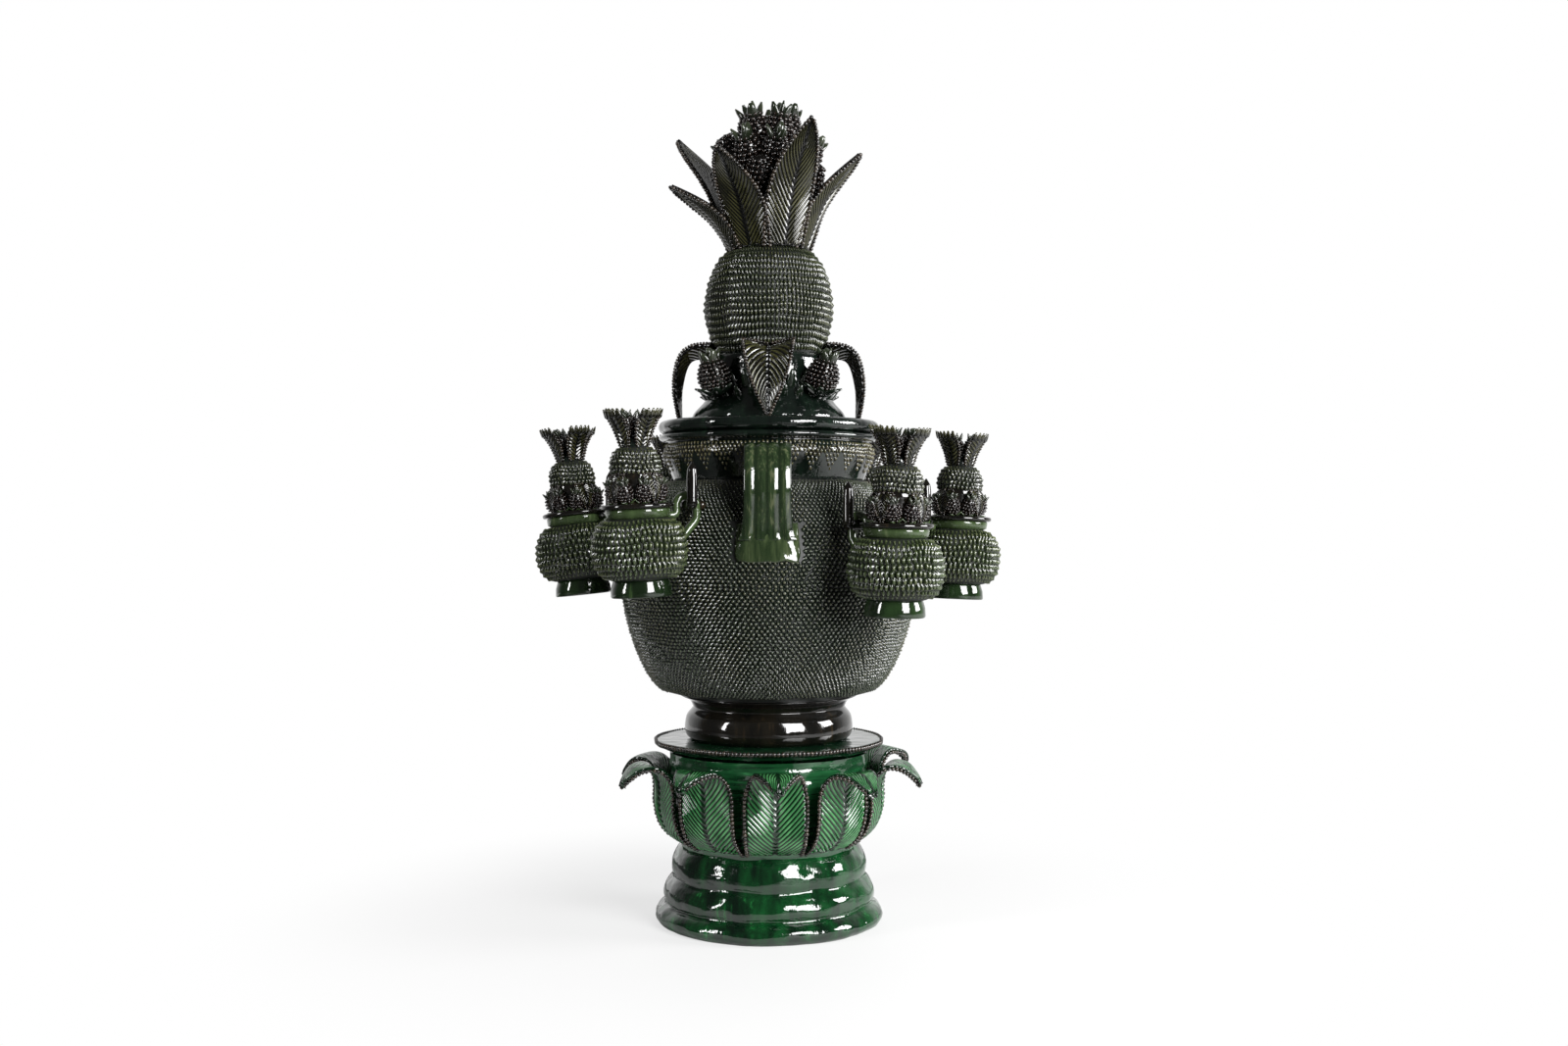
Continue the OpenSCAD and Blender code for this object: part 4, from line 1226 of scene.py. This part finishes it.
def make_mugs():
    bowl, ear, cover, knob = mug_bowl(), mug_ear(), mug_cover(), mug_knob()
    body = body_outline()
    for i in range(1, 7):
        at_arm, at_mug = mug_places(i)
        front = at_mug.to_3x3().inverted() @ Vector((0, -1, 0))
        gap_turn = math.degrees(math.atan2(front.y, front.x)) - 45
        spun = at_mug @ turn(gap_turn + 9 * (i % 3 - 1))
        for name, glazed, place, rides_on, node, slot in [
            ("bowl", bowl, spun, f"mug_{i}", "body", "studded_green"),
            ("ear", ear, at_mug, f"mug_{i}", "handle", "bottle_green"),
            ("cover", cover, spun, f"mug_lid_{i}", "lid", "brown_black"),
            ("knob", knob, spun, f"mug_lid_{i}", "finial", "studded_green"),
        ]:
            piece(f"mug_{i}_{name}", placed(glazed, place), rides_on, [f"mug_{i}_{node}"])
        make_hook(i, at_arm, body)


def make_hook(i, at_arm, body):
    """A bent bar: out of the shoulder, through the mug's ear and up into a peg."""
    side = 1 if at_arm.translation.x > 0 else -1
    root_y, peg_y = -HOOK_ROOT * side, HOOK_PEG * side
    inwards = 0
    while inwards < 80:
        p = at_arm @ Vector((inwards, root_y, 0))
        if math.hypot(p.x, p.y) < radius_at(body, p.z) - 4:
            break
        inwards += 0.5
    path = smooth_curve([
        (inwards, root_y, 0), (4, root_y, 0), (0.8, root_y + 0.8 * side, 0), (0, root_y + 4 * side, 0),
        (0, peg_y - 4 * side, 0), (0, peg_y - 0.8 * side, 0.8), (0, peg_y, 4),
        (0, peg_y, HOOK_PEG_H + HOOK_R)
    ], 6)
    hook = bar(path, round_ends(HOOK_R, 0.05), across=Vector((0, 0, 1)), sides=18)
    piece(f"mug_hook_{i}", [(moved(hook, at_arm), brown_black)], "jar", [f"hook_{i}"])


make_pedestal()
make_jar()
make_lid()
make_mugs()


# Floor, light and camera


def make_floor():
    """A white floor that keeps the shadow near the jar and runs out into the white behind it. To bounced
    light and reflections it is painted dark beyond about half a metre, except that reflections see it
    painted white and lit behind the jar and on the windows' side.
    """
    bm = bmesh.new()
    bmesh.ops.create_circle(bm, cap_ends=True, segments=96, radius=4.0)
    mesh = bpy.data.meshes.new("floor")
    bm.to_mesh(mesh)
    bm.free()
    floor = bpy.data.objects.new("floor", mesh)
    bpy.context.scene.collection.objects.link(floor)
    g = Glaze("floor_white")
    ray = g.tree.nodes.new("ShaderNodeLightPath").outputs
    mirrored = Wire(g, ray["Is Glossy Ray"]).larger(Wire(g, ray["Is Transmission Ray"]))
    right, depth = (g.node("ShaderNodeSeparateXYZ", None, {0: g.where}, axis) for axis in "XY")
    # Painted light: where reflections see the floor white and lit, behind the jar and on the windows' side
    painted_lit = g.step(depth, 0.5, 1.4).larger(0.7 * g.step(right, 0.3, 0.9))
    seen = Wire(g, ray["Is Camera Ray"]).larger(mirrored * painted_lit)
    far = g.node("ShaderNodeVectorMath", {"operation": "LENGTH"}, {0: g.where}, "Value")
    # Painted shade: away from the jar the floor's colour turns dark, except where it is seen or painted lit
    paper_and_painted_dark = 1 - (1 - seen) * g.step(far, 0.22, 0.55)
    g.link(g.blend(paper_and_painted_dark, (0.06, 0.06, 0.06), (0.84, 0.84, 0.84)), g.shader.inputs["Base Color"])
    g.shader.inputs["Roughness"].default_value = 0.6
    white = g.node("ShaderNodeEmission", None, {"Color": (1, 1, 1, 1), "Strength": 1.0})
    plain = Wire(g, g.shader.outputs[0])
    share = seen * (0.66 + 0.34 * g.step(far, 0.22, 0.62))
    both = g.node("ShaderNodeMixShader", None, {0: share, 1: plain, 2: white})
    g.link(both, g.tree.nodes["Material Output"].inputs["Surface"])
    mesh.materials.append(g.material)


def make_light(name, place, aim, size, power):
    lamp = bpy.data.lights.new(name, "AREA")
    lamp.shape = "RECTANGLE"
    lamp.size, lamp.size_y = size
    lamp.energy = power
    thing = bpy.data.objects.new(name, lamp)
    thing.location = place
    thing.rotation_mode = "QUATERNION"
    thing.rotation_quaternion = (Vector(aim) - Vector(place)).to_track_quat("-Z", "Y")
    bpy.context.scene.collection.objects.link(thing)


def make_world():
    """White as seen, and for reflections too, with a darker room on the photographer's side."""
    world = bpy.data.worlds.new("white_room")
    bpy.context.scene.world = world
    n = Nodes(world)
    where = n.node("ShaderNodeTexCoord", output="Generated")
    depth = n.node("ShaderNodeSeparateXYZ", None, {0: where}, "Y")
    seen = n.node("ShaderNodeLightPath", output="Is Camera Ray")
    back = n.tree.nodes["Background"].inputs
    n.link((1, 1, 1, 1), back["Color"])
    n.link(seen.larger(n.step(depth, 0.15, 1.0, 0.06)), back["Strength"])


def make_camera():
    lens = bpy.data.cameras.new("camera")
    lens.lens = LENS
    lens.sensor_width = 36
    camera = bpy.data.objects.new("camera", lens)
    camera.location = (EYE_RIGHT * MM, -EYE_DISTANCE * MM, EYE_HEIGHT * MM)
    camera.rotation_euler = (math.pi / 2, 0, 0)
    bpy.context.scene.collection.objects.link(camera)
    bpy.context.scene.camera = camera


make_floor()
make_light("window_right", (1.45, -1.95, 1.15), (0, 0, 0.45), (1.1, 1.5), 90)
make_light("window_far_right", (2.5, -0.1, 1.1), (0, 0, 0.45), (1.0, 1.0), 60)
make_light("window_left", (-2.1, -1.2, 1.0), (0, 0, 0.45), (0.3, 1.2), 22)
make_world()
make_camera()
bpy.context.scene.view_settings.view_transform = "Standard"
